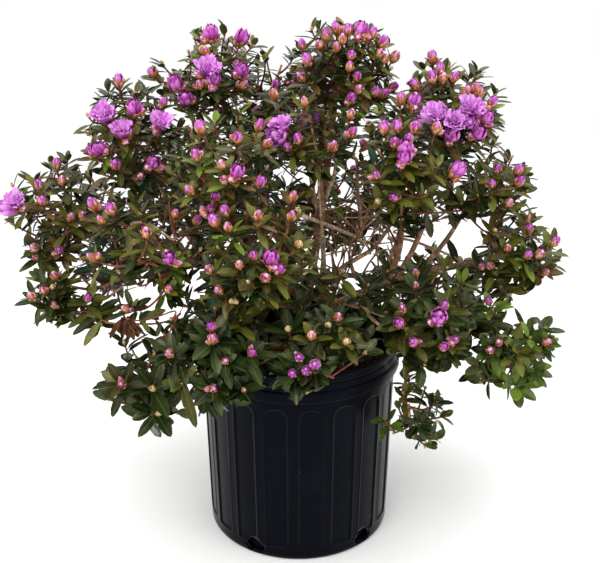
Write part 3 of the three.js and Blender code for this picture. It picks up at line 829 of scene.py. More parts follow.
def clear_of_pot(point):
    """True where a leaf or head would stand clear of the pot and the ground."""
    return point[2] > POT_HEIGHT + RIM_CLEARANCE or math.hypot(point[0], point[1]) > POT_CLEARANCE


def leaning(axis, side, cosine, turn):
    """The direction at a polar angle's cosine and a turn round an axis."""
    sine = math.sqrt(max(1 - cosine * cosine, 0))
    return axis * cosine + sine * (side * math.cos(turn) + np.cross(axis, side) * math.sin(turn))


def outward_of(name):
    """The way a mass faces, up and away from the middle of the plant."""
    return unit(unit(centres[name] - MIDDLE_OF_PLANT) + OUTWARD_LIFT * UP)


def pixels_apart(pixels, pixel):
    """How far each of many pixels is from one pixel."""
    return np.hypot(*(pixels - np.asarray(pixel)).T)


def covers_opening(points):
    """True where a leaf would close an opening that shows sky, or hide wood or pot that shows bare."""
    openings = SKY if points[0][1] > BARE_DEPTH else SKY + BARE
    seen = pixels_of(points)
    return any((pixels_apart(seen, (x, y)) < size).any() for x, y, size in openings)


def has_room(point):
    """True where most of a whorl of leaves round a point would stand clear of the openings."""
    spots = [point + ROOM_ROUND * np.array([math.cos(turn), 0, math.sin(turn)]) for turn in range(6)]
    return not covers_opening(point[None, :]) and sum(covers_opening(spot[None, :]) for spot in spots) < 3


twigs = Gathered()
shoots = Gathered()
wood = {name: [] for name in centres}


def grow(name, shape, path, radii, sides):
    """Adds a twig to the shape and keeps its points, so that later shoots can leave it."""
    shape.add(*tube(path, radii, sides))
    wood[name].extend(path)


for order, (name, *_, carrier, _) in enumerate(MASSES):
    centre, radius = centres[name], reaches[name]
    thin = (MAIN_BOUGH_RADII if carrier == "trunk" else SIDE_BOUGH_RADII)[1]
    onward = curves[name].heading(1)
    foot = curves[name].at(1) - 2 * onward
    stem = Bend(foot, foot + 0.2 * radius * onward, centre - 0.1 * radius * onward)
    along = np.linspace(0, 1, STEM_RINGS)
    grow(name, twigs, stem.at(along), thin + (STEM_RADIUS - thin) * along, STEM_SIDES)
    outward = outward_of(name)
    count = FULL_SHOOTS if name in FULL_MASSES else SHOOTS
    for shoot in range(count):
        draw = numbers(100 * order + shoot)
        cosine = SHOOT_TOP - SHOOT_FALL * (shoot + 0.3 * draw()) / count
        turn = 1.6 * GOLDEN * shoot + 0.8 * draw() + order
        direction = leaning(outward, beside(outward), cosine, turn)
        axis = unit(direction + SHOOT_UPTURN * UP)
        fork = stem.at(1 - (0.12 + 0.6 * shoot) / count)
        tip = centre + SHOOT_REACH * radius * direction
        twig = Bend(fork, tip - 0.4 * np.linalg.norm(tip - fork) * axis, tip)
        path = twig.at(np.linspace(0, 1, TWIG_RINGS))
        grow(name, twigs, path, np.linspace(*TWIG_RADII, TWIG_RINGS), TWIG_SIDES)

tips = []


def nudge(draw):
    """A small random step, up to a half each way."""
    return np.array([draw(), draw(), draw()]) - 0.5


def far_enough(point, spacing):
    """True where no shoot ends within a spacing of a point."""
    if not tips:
        return True
    return np.linalg.norm(np.array([other["tip"] for other in tips]) - point, axis=1).min() > spacing


def faced(name, point, shown):
    """The way a shoot ends at a point: out of its mass and up, the low ones in front towards the viewer."""
    lift = np.interp(point[2], (300, 450), (0.45, 0.85))
    way = 0.7 * unit(point - centres[name]) + lift * UP
    if shown and name in LOW_MASSES:
        way = way + FACING * unit(CAMERA_PLACE - point)
    return way


def keep_tip(name, point, axis, stage, seed, path, shown=False):
    """Keeps where a shoot ends, which way it points there and what it carries."""
    tips.append(dict(name=name, tip=point, axis=axis, stage=stage, seed=seed, path=path, shown=shown))


def add_tip(name, point, stage, seed, shown=False):
    """Grows a shoot to a point from the nearest wood of its mass, with its end turned up and outward."""
    draw = numbers(seed)
    axis = unit(faced(name, point, shown) + 0.3 * nudge(draw))
    held = np.array(wood[name])
    fork_reach = FORK_DEPTH * np.linalg.norm(point - centres[name])
    inside = np.linalg.norm(held - centres[name], axis=1) < fork_reach
    held = held[inside] if inside.any() else held
    reach_back = np.linalg.norm(held - (point - SHOOT_LEAD * axis), axis=1)
    fork = held[reach_back.argmin()]
    apart = np.linalg.norm(point - fork)
    shoot = Bend(fork, point - 0.45 * apart * axis, point)
    rings = max(6, int(apart / SHOOT_RING_SPACING))
    path = shoot.at(np.linspace(0, 1, rings))
    grow(name, shoots, path, np.linspace(*SHOOT_RADII, rings), SHOOT_SIDES)
    keep_tip(name, point, shoot.heading(1), stage, seed, path, shown)


stages = (
    ("open", OPEN_HEADS),
    ("half", HALF_OPEN_HEADS),
    ("coloured", COLOURED_HEADS),
    ("pink", PINK_HEADS),
    ("tan", TAN_HEADS),
    ("leafy", LEAFY_HEADS),
)


def foliage_at(pixel):
    """The mass that a pixel shows first and the point on its outside that shows there."""
    ray = sight(pixel)
    best = None
    for name, centre in centres.items():
        nearest = (centre - CAMERA_PLACE) @ ray
        aside = np.linalg.norm(CAMERA_PLACE + nearest * ray - centre)
        shell = HEAD_DEPTH * reaches[name]
        step = nearest - math.sqrt(max(shell * shell - aside * aside, 0))
        place = CAMERA_PLACE + step * ray
        beyond = max(aside - shell, 0)
        if not in_space(name, place, SPACE_SPARE) or not clear_of_pot(place):
            continue
        cost = step + ASIDE_COST * beyond
        if best is None or cost < best[0]:
            best = (cost, name, place)
    return best and best[1:]


head_number = 0
for stage, pixels in stages:
    for pixel in pixels:
        found = foliage_at(pixel)
        if found:
            middle = found[1] + HEAD_MIDDLE[stage] * unit(faced(*found, True))
            found = foliage_at(pixel - (pixels_of(middle) - pixels_of(found[1]))[0]) or found
        if found and far_enough(found[1], HEAD_SPACING):
            add_tip(*found, stage, HEAD_SEED + head_number, True)
        head_number += 1


def wood_between(point):
    """How many millimetres of foliage stand between a point and the camera."""
    away = CAMERA_PLACE - point
    ray = unit(away)
    ahead = (all_centres - point) @ ray
    aside = np.linalg.norm(point + ahead[:, None] * ray - all_centres, axis=1)
    chord = np.sqrt(np.maximum((TIP_DEPTH * all_reaches) ** 2 - aside**2, 0))
    return np.maximum(ahead + chord - np.maximum(ahead - chord, 0), 0).sum()


# Shoots that fill the rest of each mass, the sides, the back and the top among them
for order, (name, *_) in enumerate(MASSES):
    draw = numbers(FILL_SEED + order)
    outward = outward_of(name)
    spacing = LOOSE_SPACINGS.get(name, TIP_SPACING)
    for step in range(FILL_POINTS):
        cosine = 1 - FILL_FALL * (step + 0.5) / FILL_POINTS
        direction = leaning(outward, beside(outward), cosine, GOLDEN * step + order)
        depth = TIP_DEPTH * (1 - 0.42 * draw() ** 2)
        point = centres[name] + depth * reaches[name] * direction
        roll = draw()
        stage = "leafy"
        if wood_between(point) > FILL_HIDDEN:
            for share, kind in FILL_STAGES:
                if roll < share and (kind != "open" or point[2] > OPEN_ABOVE):
                    stage = kind
                    break
        if in_space(name, point) and clear_of_pot(point) and far_enough(point, spacing) and has_room(point):
            add_tip(name, point, stage, FILL_TIP_SEED + 200 * order + step)

# Leafy side shoots that stand along the boughs, in the shade of the middle of the plant
for order, (name, *_) in enumerate(MASSES):
    draw = numbers(INNER_SEED + order)
    for step in range(INNER_SHOOTS):
        along = 0.3 + 0.65 * (step + draw()) / INNER_SHOOTS
        start = curves[name].at(along)
        heading = curves[name].heading(along)
        open_angle = 0.7 + 0.6 * draw()
        direction = leaning(heading, beside(heading), math.cos(open_angle), GOLDEN * 1.7 * step + order)
        direction = unit(direction + INNER_UPTURN * UP)
        point = start + (34 + 44 * draw()) * direction
        if clear_of_pot(point) and far_enough(point, INNER_SPACING) and has_room(point):
            knee = start + 0.5 * (point - start) - INNER_SAG * UP
            path = Bend(start, knee, point).at(np.linspace(0, 1, INNER_RINGS))
            shoots.add(*tube(path, np.linspace(*INNER_RADII, INNER_RINGS), SHOOT_SIDES))
            axis, seed = unit(path[-1] - path[-2]), INNER_TIP_SEED + 50 * order + step
            keep_tip(None, point, axis, "leafy", seed, path)

# Bare stems. Old leafless wood shows in the open middle and below the left side. Each stem is given by its
# radius at both ends and the pixels that it passes, and its ends grow out of the nearest bough or twig; finer
# bare twigs fork from the wood in the middle into a loose tangle.
TAN_STEMS = [
    (3.0, 2.5, (300, 215), (312, 219), (340, 230), (369, 243)),
    (4.4, 1.9, (324, 268), (323, 248), (321, 228), (322, 212), (327, 193), (334, 178), (337, 158)),
    (2.0, 1.2, (322, 236), (320, 205), (318, 180), (322, 158)),
    (2.4, 1.8, (321, 272), (323, 255), (325, 236)),
    (2.0, 1.5, (335, 274), (331, 256), (338, 240)),
    (2.6, 1.8, (353, 272), (348, 256), (353, 238)),
    (1.5, 1.1, (364, 272), (372, 258), (384, 248)),
    (4.6, 3.6, (338, 270), (356, 259), (374, 249)),
    (2.4, 1.6, (384, 237), (408, 239), (430, 247), (460, 259)),
    (2.0, 1.4, (375, 249), (392, 260), (404, 273)),
    (2.8, 2.1, (311, 270), (335, 285), (358, 304), (382, 329)),
    (2.0, 1.6, (294, 279), (312, 270), (317, 252)),
    (1.5, 1.0, (390, 231), (420, 226), (450, 216)),
    (1.6, 1.2, (112, 256), (134, 245), (152, 229)),
    (1.8, 1.3, (131, 223), (150, 222), (172, 240)),
    (1.3, 1.0, (172, 194), (186, 204), (196, 212)),
]
BROWN_STEMS = [
    (3.0, 2.3, (361, 240), (360, 215), (357, 186), (358, 160)),
    (3.4, 2.3, (374, 249), (388, 229), (398, 213)),
    (1.6, 1.2, (104, 300), (125, 285), (150, 262)),
    (1.3, 1.0, (440, 268), (430, 285), (424, 300)),
]
RED_STEMS = [
    (1.8, 1.3, (408, 213), (440, 213), (466, 210), (490, 205)),
    (1.4, 0.9, (184, 311), (165, 324), (130, 324), (104, 323), (90, 309), (62, 316), (40, 314)),
    (1.2, 0.9, (180, 314), (168, 335), (150, 362)),
    (1.2, 0.8, (178, 309), (160, 316), (140, 322), (120, 317)),
]
STEM_SMOOTHING = 3
STEM_RELIEF = 0.15
STEM_PLATES = 3
FRONT_FIRST = 0.02
TANGLE = 170
TANGLE_FRONT = 25
TANGLE_BACK = 215
TANGLE_MIDDLE = (368, 234)
TANGLE_SPREAD = (64, 46)
TANGLE_RADII = (1.6, 0.8)
TANGLE_RINGS = 6
TANGLE_BEND = 14
TANGLE_SEED = 900
bough_points = [curve.at(np.linspace(0.12, 1, 40)) for curve in curves.values()]
every_wood = np.concatenate(bough_points + list(wood.values()))
wood_pixels = pixels_of(every_wood)
wood_depths = depth_of(every_wood)


def wood_near(pixel):
    """The point of a bough or twig that stands nearest to a pixel, the front ones before the back ones."""
    apart = pixels_apart(wood_pixels, pixel) + FRONT_FIRST * (wood_depths - wood_depths.min())
    return every_wood[apart.argmin()]


def seen_from(pixel, depth):
    """The point at a distance in front of the camera that shows in a pixel."""
    ray = sight(pixel)
    return CAMERA_PLACE + ray * depth / (ray @ AHEAD)


red_paths = []
# The tan stems take the pale stem bark, a copy of the tan bark lightened as painted light.
for shape, material, listed in ((twigs, 2, TAN_STEMS), (twigs, 0, BROWN_STEMS), (shoots, 0, RED_STEMS)):
    for thick, thin, *path_pixels in listed:
        ends = wood_near(path_pixels[0]), wood_near(path_pixels[-1])
        depths = [depth_of(end) for end in ends]
        steps = np.linspace(depths[0], depths[1], len(path_pixels))
        passed = [seen_from(pixel, step) for pixel, step in zip(path_pixels, steps)]
        path = np.array([ends[0], *passed, ends[1]])
        for _ in range(STEM_SMOOTHING):
            sooner = 0.75 * path[:-1] + 0.25 * path[1:]
            later = 0.25 * path[:-1] + 0.75 * path[1:]
            cut_corners = np.stack([sooner, later], axis=1).reshape(-1, 3)
            path = np.concatenate([path[:1], cut_corners, path[-1:]])
        radii = np.linspace(thick, thin, len(path))
        shape.add(*tube(path, radii, STEM_SIDES, STEM_RELIEF, STEM_PLATES, thick), material)
        if shape is shoots:
            red_paths.append(path)


def in_tangle(pixels):
    """True for pixels in the open middle, where the photograph shows a tangle of bare twigs."""
    return np.hypot(*((pixels - TANGLE_MIDDLE) / TANGLE_SPREAD).T) < 1


draw = numbers(TANGLE_SEED)
behind = (every_wood[:, 1] > TANGLE_FRONT) & (every_wood[:, 1] < TANGLE_BACK)
tangled = list(every_wood[in_tangle(wood_pixels) & behind])
for _ in range(TANGLE):
    start = tangled[int(draw() * len(tangled))]
    direction = unit(np.array([draw() - 0.5, 0.6 * (draw() - 0.5), 0.8 * draw() - 0.12]))
    end = start + (36 + 54 * draw()) * direction
    knee = 0.5 * (start + end) + TANGLE_BEND * nudge(draw)
    path = Bend(start, knee, end).at(np.linspace(0, 1, TANGLE_RINGS))
    bark = int(2.4 * draw())
    if clear_of_pot(end) and TANGLE_FRONT < end[1] < TANGLE_BACK and in_tangle(pixels_of(end))[0]:
        twigs.add(*tube(path, np.linspace(*TANGLE_RADII, TANGLE_RINGS), SHOOT_SIDES), bark)
        tangled.extend(path[3:])

bare_stems = np.concatenate(red_paths)
foliage_nodes = [row[0] + "_foliage" for row in MASSES]


def foliage_piece(shape, name, materials, sharp):
    """Makes a piece that runs through all the foliage and stands in for every mass of the part."""
    piece = shape.piece(name, materials, sharp)
    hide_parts(*foliage_nodes)


foliage_piece(twigs, "twigs", [twig_bark, tan_bark, painted_light_bark], sharp=80)
foliage_piece(shoots, "young_shoots", [shoot_bark], sharp=80)

# Leaves. Small, leathery and evergreen, elliptic with a short point, folded a little along a paler midrib;
# each sits on a short stalk, and they crowd into a whorl at the end of a shoot with a few older ones below.
LEAF_LENGTH = 34
LEAF_WIDTH = 10.6
LEAF_THICK = 0.45
LEAF_ROWS = [(0.0, 0.1), (0.12, 0.2), (0.3, 0.78), (0.5, 1.0), (0.74, 0.88), (0.92, 0.46)]
LEAF_ACROSS = (-1, 0, 1)
ROSETTE_LEAVES = 8
ROSETTE_DEPTH = 15
OLDER_LEAVES = 5
OUTER_LEAF_ANGLE = 84
INNER_LEAF_ANGLE = 32
LEAF_HEIGHTS = (280, 420, 640)
LEAF_SIZES = (1.16, 1.0, 0.84)
BROAD_LEAF = 1.2
STRAY_BRONZE = 0.07
BACK_REACH = 336
LEAF_SEED = 20000
SHOWN_SPARE = 1.2
INNER_SPARE = 0.14
SHOWN_SIZES = {"open": 13, "half": 9, "coloured": 7, "pink": 6.5, "tan": 6, "leafy": 0}
SHOWN_MIDDLE = 10
SHOWN_CLEARANCE = 3

blade = [(u, width * v, 0.0) for u, width in LEAF_ROWS for v in LEAF_ACROSS]
blade.append((1.0, 0.0, 0.0))
blade += [(u, 0.0, -1.0) for u, _ in LEAF_ROWS]
blade = np.array(blade)
rows_of_leaf = len(LEAF_ROWS)
columns_of_leaf = len(LEAF_ACROSS)
tip_corner = columns_of_leaf * rows_of_leaf
rib_corner = tip_corner + 1
last_row = columns_of_leaf * (rows_of_leaf - 1)
last_rib = rib_corner + rows_of_leaf - 1
lower_quads = []
for row in range(rows_of_leaf - 1):
    here, there = columns_of_leaf * row, columns_of_leaf * (row + 1)
    lower_quads.append((there, rib_corner + row + 1, rib_corner + row, here))
    lower_quads.append((rib_corner + row + 1, there + 2, here + 2, rib_corner + row))
leaf_faces = [
    grid_faces(rows_of_leaf, columns_of_leaf, closed=False),
    np.array([(last_row, last_row + 1, tip_corner), (last_row + 1, last_row + 2, tip_corner)]),
    np.array(lower_quads),
    np.array([(tip_corner, last_rib, last_row), (tip_corner, last_row + 2, last_rib)]),
    np.array([(0, rib_corner, 2, 1)]),
]
UPPER, LOWER = 0, 1
leaf_sides = (UPPER, UPPER, LOWER, LOWER, LOWER)


def add_leaf(shape, root, direction, facing, length, width, fold, curl, tone):
    """Adds one leaf: its blade folds up from the midrib and curls down along its length."""
    facing = unit(facing - direction * (facing @ direction))
    across = np.cross(facing, direction)
    x, y = length * blade[:, 0], 0.5 * width * blade[:, 1]
    z = fold * np.abs(y) - curl * length * blade[:, 0] ** 2 + LEAF_THICK * blade[:, 2]
    points = root + x[:, None] * direction + y[:, None] * across + z[:, None] * facing
    shape.add(points, leaf_faces, leaf_sides, rib=np.abs(blade[:, 1]), tone=np.full(len(points), tone))


# For each tone: the share of sprays that have it, then its dark, middle and pale green
LEAF_TONES = {
    "olive": (0.24, "#25260a", "#3f3f12", "#5b5a20"),
    "moss": (0.16, "#282b0a", "#444613", "#606223"),
    "deep": (0.22, "#0c1505", "#17240b", "#293817"),
    "dull": (0.13, "#1e1e0a", "#323112", "#4c4a20"),
    "bluish": (0.06, "#112017", "#1e3325", "#324a3b"),
    "bronze": (0.1, "#291d0b", "#453316", "#624c28"),
    "fresh": (0.09, "#17250a", "#344811", "#647a28"),
}
# Masses with a tone of their own and the share of their sprays that have it; None is the inner side shoots
MASS_TONES = {
    "right_low": ("fresh", 0.5),
    "droop": ("fresh", 0.75),
    "right": ("moss", 0.5),
    "right_mid": ("moss", 0.4),
    **dict.fromkeys(("low_left", "front_left", "front", "front_right", None), ("deep", 0.8)),
}
LEAF_SCALES = {"droop": 0.72, "right_low": 0.92, "low_left": 1.14}
leaves = {tone: Gathered() for tone in LEAF_TONES}
shown_tips = [tip for tip in tips if tip["shown"]]
shown_spots = np.array([tip["tip"] + SHOWN_MIDDLE * tip["axis"] for tip in shown_tips])
shown_pixels = pixels_of(shown_spots)
shown_depths = depth_of(shown_spots)
shown_sizes = np.array([SHOWN_SIZES[tip["stage"]] for tip in shown_tips])


def hides_head(points):
    """True where a leaf would stand in front of a flower head that the photograph shows."""
    for pixel, depth in zip(pixels_of(points), depth_of(points)):
        near = pixels_apart(shown_pixels, pixel) < shown_sizes
        if (near & (depth < shown_depths - SHOWN_CLEARANCE)).any():
            return True
    return False


for tip in tips:
    draw = numbers(LEAF_SEED + tip["seed"])
    roll = draw()
    for tone, (share, *_) in LEAF_TONES.items():
        roll -= share
        if roll < 0:
            break
    broad = BROAD_LEAF if tip["name"] in LOW_MASSES else 1
    own_tone, share = MASS_TONES.get(tip["name"], (tone, 1))
    if draw() < share or (broad > 1 and tone == "bronze"):
        tone = own_tone
    axis, side = tip["axis"], beside(tip["axis"])
    count = ROSETTE_LEAVES + int(3 * draw())
    older = min(OLDER_LEAVES, len(tip["path"]) - 3)
    size = np.interp(tip["tip"][2], LEAF_HEIGHTS, LEAF_SIZES) * (0.88 + 0.24 * draw())
    size *= LEAF_SCALES.get(tip["name"], 1)
    for k in range(count + older):
        turn = GOLDEN * k + 0.6 * draw()
        if k < count:
            rank = k / (count - 1)
            root = tip["tip"] - axis * ROSETTE_DEPTH * (1 - rank)
            closed = (OUTER_LEAF_ANGLE - INNER_LEAF_ANGLE) * rank**1.3
            open_angle = math.radians(OUTER_LEAF_ANGLE - closed + 18 * (draw() - 0.5))
            length = LEAF_LENGTH * size * (1 - 0.35 * rank**2) * (0.85 + 0.3 * draw())
        else:
            root = tip["path"][-3 - (k - count)]
            open_angle = math.radians(60 + 45 * draw())
            length = LEAF_LENGTH * size * (0.7 + 0.35 * draw())
        direction = leaning(axis, side, math.cos(open_angle), turn)
        direction = unit(direction + 0.3 * UP * (draw() - 0.45))
        facing = unit(0.8 * axis + 0.45 * UP + 0.4 * nudge(draw))
        width = LEAF_WIDTH * size * broad * (0.82 + 0.32 * draw())
        fold, curl, shade = 0.1 + 0.3 * draw(), 0.02 + 0.2 * draw(), draw()
        end = root + length * direction
        spots = np.array([root + 0.55 * length * direction, end])
        spare = SHOWN_SPARE if tip["shown"] and tip["tip"][1] < BARE_DEPTH else INNER_SPARE
        if tip["name"] and not in_space(tip["name"], end, spare):
            continue
        if not clear_of_pot(end) or end[1] > BACK_REACH or covers_opening(spots) or hides_head(spots):
            continue
        kind = "bronze" if draw() < STRAY_BRONZE and broad == 1 else tone
        add_leaf(leaves[kind], root, direction, facing, length, width, fold, curl, shade)

# Single leaves that stand out on bare stems and low sprays, from the pixel of the stalk to that of the point
STEM_LEAVES = [
    ((96, 312), (119, 298)), ((97, 313), (121, 306)), ((93, 311), (66, 327)), ((95, 320), (71, 334)),
    ((98, 324), (82, 346)), ((99, 325), (92, 338)), ((62, 316), (57, 329)), ((140, 320), (165, 309)),
    ((133, 309), (138, 298)), ((138, 312), (151, 297)), ((142, 322), (150, 332)), ((160, 323), (156, 337)),
    ((45, 314), (38, 322)), ((104, 322), (122, 313)), ((146, 361), (150, 345)), ((170, 330), (176, 317)),
    ((139, 341), (158, 336)), ((60, 316), (75, 308)), ((165, 322), (186, 321)), ((167, 324), (190, 333)),
    ((186, 398), (196, 428)), ((121, 390), (111, 417)), ((473, 365), (458, 381)), ((483, 366), (484, 385)),
    ((438, 356), (440, 369)), ((457, 257), (448, 238)), ((428, 226), (432, 238)), ((447, 216), (456, 229)),
]
FRONT_WOOD = 60
NEAR_FIRST = 0.03
BARE_FIRST = 8
STEM_LEAF_SLIM = 0.36
STEM_LEAF_WIDEST = 13
STEM_LEAF_SEED = 700


def on_stem(pixel):
    """The point of a bare stem, or else of other wood in front, that shows nearest to a pixel."""
    held = np.concatenate([bare_stems, every_wood[every_wood[:, 1] < FRONT_WOOD]])
    apart = pixels_apart(pixels_of(held), pixel)
    apart += NEAR_FIRST * depth_of(held)
    apart[: len(bare_stems)] -= BARE_FIRST
    return held[apart.argmin()]


draw = numbers(STEM_LEAF_SEED)
for stalk, point in STEM_LEAVES:
    root = on_stem(stalk)
    end = seen_from(point, depth_of(root) - 9 + 18 * draw())
    length = np.linalg.norm(end - root)
    facing = np.array([0.4 * (draw() - 0.5), -0.6, 0.8])
    shape = leaves["deep" if draw() < 0.6 else "olive"]
    width = min(STEM_LEAF_SLIM * length, STEM_LEAF_WIDEST)
    add_leaf(shape, root, (end - root) / length, facing, length, width, 0.15, 0.08, draw())

# Leaf skin: a leathery, waxy upper side with a soft gloss and a paler midrib, and a dull, paler underside.
for tone, (_, dark, middle, pale) in LEAF_TONES.items():
    skin, shader = new_material(
        tone + "_leaf_upper", Roughness=0.3, Specular_IOR_Level=0.33, Specular_Tint=linear("#f7f1c6")
    )
    place = add_node(skin, "ShaderNodeTexCoord").outputs["Object"]
    mottle = add_node(skin, "ShaderNodeTexNoise", {"Vector": place, "Scale": 1 / (12 * MM), "Detail": 3})
    each = add_node(skin, "ShaderNodeAttribute", attribute_name="tone")
    varied = add_node(
        skin,
        "ShaderNodeMath",
        {0: mottle.outputs["Fac"], 1: each.outputs["Fac"]},
        operation="ADD",
    )
    graded = add_node(
        skin, "ShaderNodeMapRange", {"Value": varied.outputs["Value"], "From Min": 0.35, "From Max": 1.4}
    )
    green = blend_of(skin, [(0.1, dark), (0.5, middle), (0.95, pale)], graded.outputs["Result"])
    rib = add_node(skin, "ShaderNodeAttribute", attribute_name="rib")
    ribbed = add_node(
        skin,
        "ShaderNodeMapRange",
        {"Value": rib.outputs["Fac"], "From Min": 0.02, "From Max": 0.16, "To Min": 0.2, "To Max": 0},
    )
    veined = add_node(
        skin,
        "ShaderNodeMix",
        {"Factor": ribbed.outputs["Result"], "A": green, "B": linear("#7f8a52")},
        data_type="RGBA",
    )
    skin.node_tree.links.new(veined.outputs["Result"], shader.inputs["Base Color"])
    pucker = add_node(skin, "ShaderNodeTexNoise", {"Vector": place, "Scale": 1 / (4 * MM), "Detail": 2})
    leathery = add_node(
        skin, "ShaderNodeBump", {"Height": pucker.outputs["Fac"], "Strength": 0.3, "Distance": 0.6 * MM}
    )
    skin.node_tree.links.new(leathery.outputs["Normal"], shader.inputs["Normal"])
    waxy = add_node(
        skin,
        "ShaderNodeMapRange",
        {"Value": mottle.outputs["Fac"], "From Min": 0.3, "From Max": 0.7, "To Min": 0.2, "To Max": 0.4},
    )
    skin.node_tree.links.new(waxy.outputs["Result"], shader.inputs["Roughness"])

    lower, shader = new_material(tone + "_leaf_underside", Roughness=0.65, Specular_IOR_Level=0.3)
    grained(lower, shader, 5, 4, [(0.3, middle), (0.75, "#5f6236")], (0.3, 0.5))
    foliage_piece(leaves[tone], "leaves_" + tone, [skin, lower], sharp=70)

# Flower buds. Each is a cone of overlapping bud scales, tan and cream while it is shut; as it swells the
# scales turn peach and part, and the tips of folded violet petals push out between them.
SCALE_PROFILE = [(0.0, 0.3), (0.12, 0.52), (0.3, 0.84), (0.5, 1.0), (0.7, 0.9), (0.86, 0.62), (1.0, 0.2)]
PETAL_PROFILE = [(0.0, 0.3), (0.3, 0.72), (0.52, 1.0), (0.74, 0.94), (0.9, 0.72), (1.0, 0.45)]


def add_shell(shape, foot, axis, turn, size, span, half_width, swell, material, tone, flare, point, cells):
    """Adds a petal or scale that lies round a bud from one height to another, with its edges hooked in."""
    tall, wide = size
    rows, columns = cells
    along = np.linspace(0, 1, rows)
    heights = span[0] + (span[1] - span[0]) * along
    outline = SCALE_PROFILE if material else PETAL_PROFILE
    girth = np.interp(heights, [h for h, _ in outline], [r for _, r in outline])
    v = np.linspace(-1, 1, columns)
    spread = half_width * np.sqrt(np.clip(1 - along**point, 0.004, 1))
    angles = turn + spread[:, None] * v
    reach = 0.5 * wide * (girth[:, None] * swell * (1.08 - 0.14 * v * v) + flare * (along**2)[:, None])
    out = round_about(axis, beside(axis), angles)
    points = foot + (tall * heights)[:, None, None] * axis + reach[..., None] * out
    # The edge mark is lowest at a shell's foot and sides and highest at its tip, and the colours darken with
    # it: painted shade where petals and scales tuck under one another.
    edge = np.repeat(along, columns) - 0.25 * np.tile(v * v, rows)
    faces = grid_faces(rows, columns, closed=False)
    shape.add(points.reshape(-1, 3), [faces], material, edge=edge, tone=np.full(len(edge), tone))


# For each stage: whorls of petals, then whorls of scales, as lowest and highest point, swelling and count;
# then how far petals and scales flare, and the material of the scales.
BUD_STAGES = {
    "leafy": ([], [(0.1, 1.0, 0.9, 3), (0.0, 0.7, 1.0, 3)], 0, 0.05, 2),
    "tan": ([], [(0.3, 1.0, 0.9, 5), (0.12, 0.86, 1.0, 5), (0.0, 0.55, 1.07, 5)], 0, 0.05, 2),
    "pink": (
        [(0.3, 0.98, 0.72, 3)],
        [(0.25, 0.96, 0.94, 5), (0.1, 0.78, 1.02, 5), (0.0, 0.52, 1.09, 5)],
        0.03,
        0.08,
        1,
    ),
    "coloured": (
        [(0.3, 1.0, 0.66, 5), (0.25, 0.96, 0.9, 6)],
        [(0.12, 0.82, 1.0, 6), (0.0, 0.58, 1.08, 6)],
        0.05,
        0.14,
        1,
    ),
    "wide": (
        [(0.3, 1.0, 0.3, 3), (0.3, 1.1, 0.5, 5), (0.2, 1.06, 0.75, 6), (0.1, 0.95, 0.95, 7)],
        [(0.0, 0.4, 1.04, 6)],
        0.5,
        0.2,
        1,
    ),
    "half": (
        [(0.3, 1.06, 0.62, 5), (0.25, 1.0, 0.85, 6), (0.2, 0.94, 1.0, 7)],
        [(0.04, 0.52, 1.06, 6), (0.0, 0.38, 1.12, 6)],
        0.16,
        0.2,
        1,
    ),
}
HEART_PROFILE = [(0.3, 0.5), (0.6, 0.66), (0.8, 0.54), (0.93, 0.28)]
HEART_SIDES = 6
HEARTS = {"tan": 2, "pink": 3, "coloured": 0, "wide": 0, "half": 0}
PETAL_CELLS = (5, 4)
SCALE_CELLS = (4, 3)
PETAL_POINT = 4
SCALE_POINT = 1.7
BUD_SUNK = 1.5
BUD_SEED = 40000
BUD_SIZES = {
    "tan": (9.5, 8.4),
    "pink": (15.8, 10.4),
    "coloured": (17.5, 11.2),
    "half": (21.5, 15.8),
    "leafy": (7, 4),
}


def add_heart(shape, foot, axis, size, material, tone):
    """Adds the closed cone of folded petals that fills the middle of a bud."""
    tall, wide = size
    out = round_about(axis, beside(axis), 2 * np.pi * np.arange(HEART_SIDES) / HEART_SIDES)
    rings = [foot + tall * height * axis + 0.5 * wide * girth * out for height, girth in HEART_PROFILE]
    last = (len(HEART_PROFILE) - 1) * HEART_SIDES
    tip = last + HEART_SIDES
    points = np.concatenate([*rings, [foot + tall * axis]])
    fan = [(last + k, last + (k + 1) % HEART_SIDES, tip) for k in range(HEART_SIDES)]
    # The edge mark is the height up the heart, so its colour darkens towards the foot: painted shade deep
    # inside the bud.
    edge = np.append(np.repeat([height for height, _ in HEART_PROFILE], HEART_SIDES), 1.0)
    faces = [grid_faces(len(HEART_PROFILE), HEART_SIDES), np.array(fan)]
    shape.add(points, faces, material, edge=edge, tone=np.full(len(edge), tone))


def add_bud(shape, foot, axis, size, stage, draw):
    """Adds one bud in a stage of opening. Material 0 is petal, 1 peach scale, 2 tan scale, 3 blush."""
    petals, scales, petal_flare, scale_flare, scale_material = BUD_STAGES[stage]
    start = 6 * draw()
    if stage in HEARTS:
        add_heart(shape, foot, axis, size, HEARTS[stage], draw())
    for ring, (low, high, swell, count) in enumerate(petals):
        for k in range(count):
            turn = start + 2 * math.pi * (k + 0.5 * ring) / count + 0.5 * (draw() - 0.5)
            top = high * (0.9 + 0.14 * draw())
            tone, flare = draw(), petal_flare * (0.2 + 1.4 * draw())
            shell = (3.7 / count, swell, 0, tone, flare, PETAL_POINT, PETAL_CELLS)
            add_shell(shape, foot, axis, turn, size, (low, top), *shell)
    for ring, (low, high, swell, count) in enumerate(scales):
        for k in range(count):
            turn = start + 2 * math.pi * (k + 0.5 * ring) / count + 0.3 * draw()
            top = high * (0.8 + 0.25 * draw()) if scale_material == 1 else high
            tone, flare = draw(), scale_flare * draw()
            shell = (3.1 / count, swell, scale_material, tone, flare, SCALE_POINT, SCALE_CELLS)
            add_shell(shape, foot, axis, turn, size, (low, top), *shell)


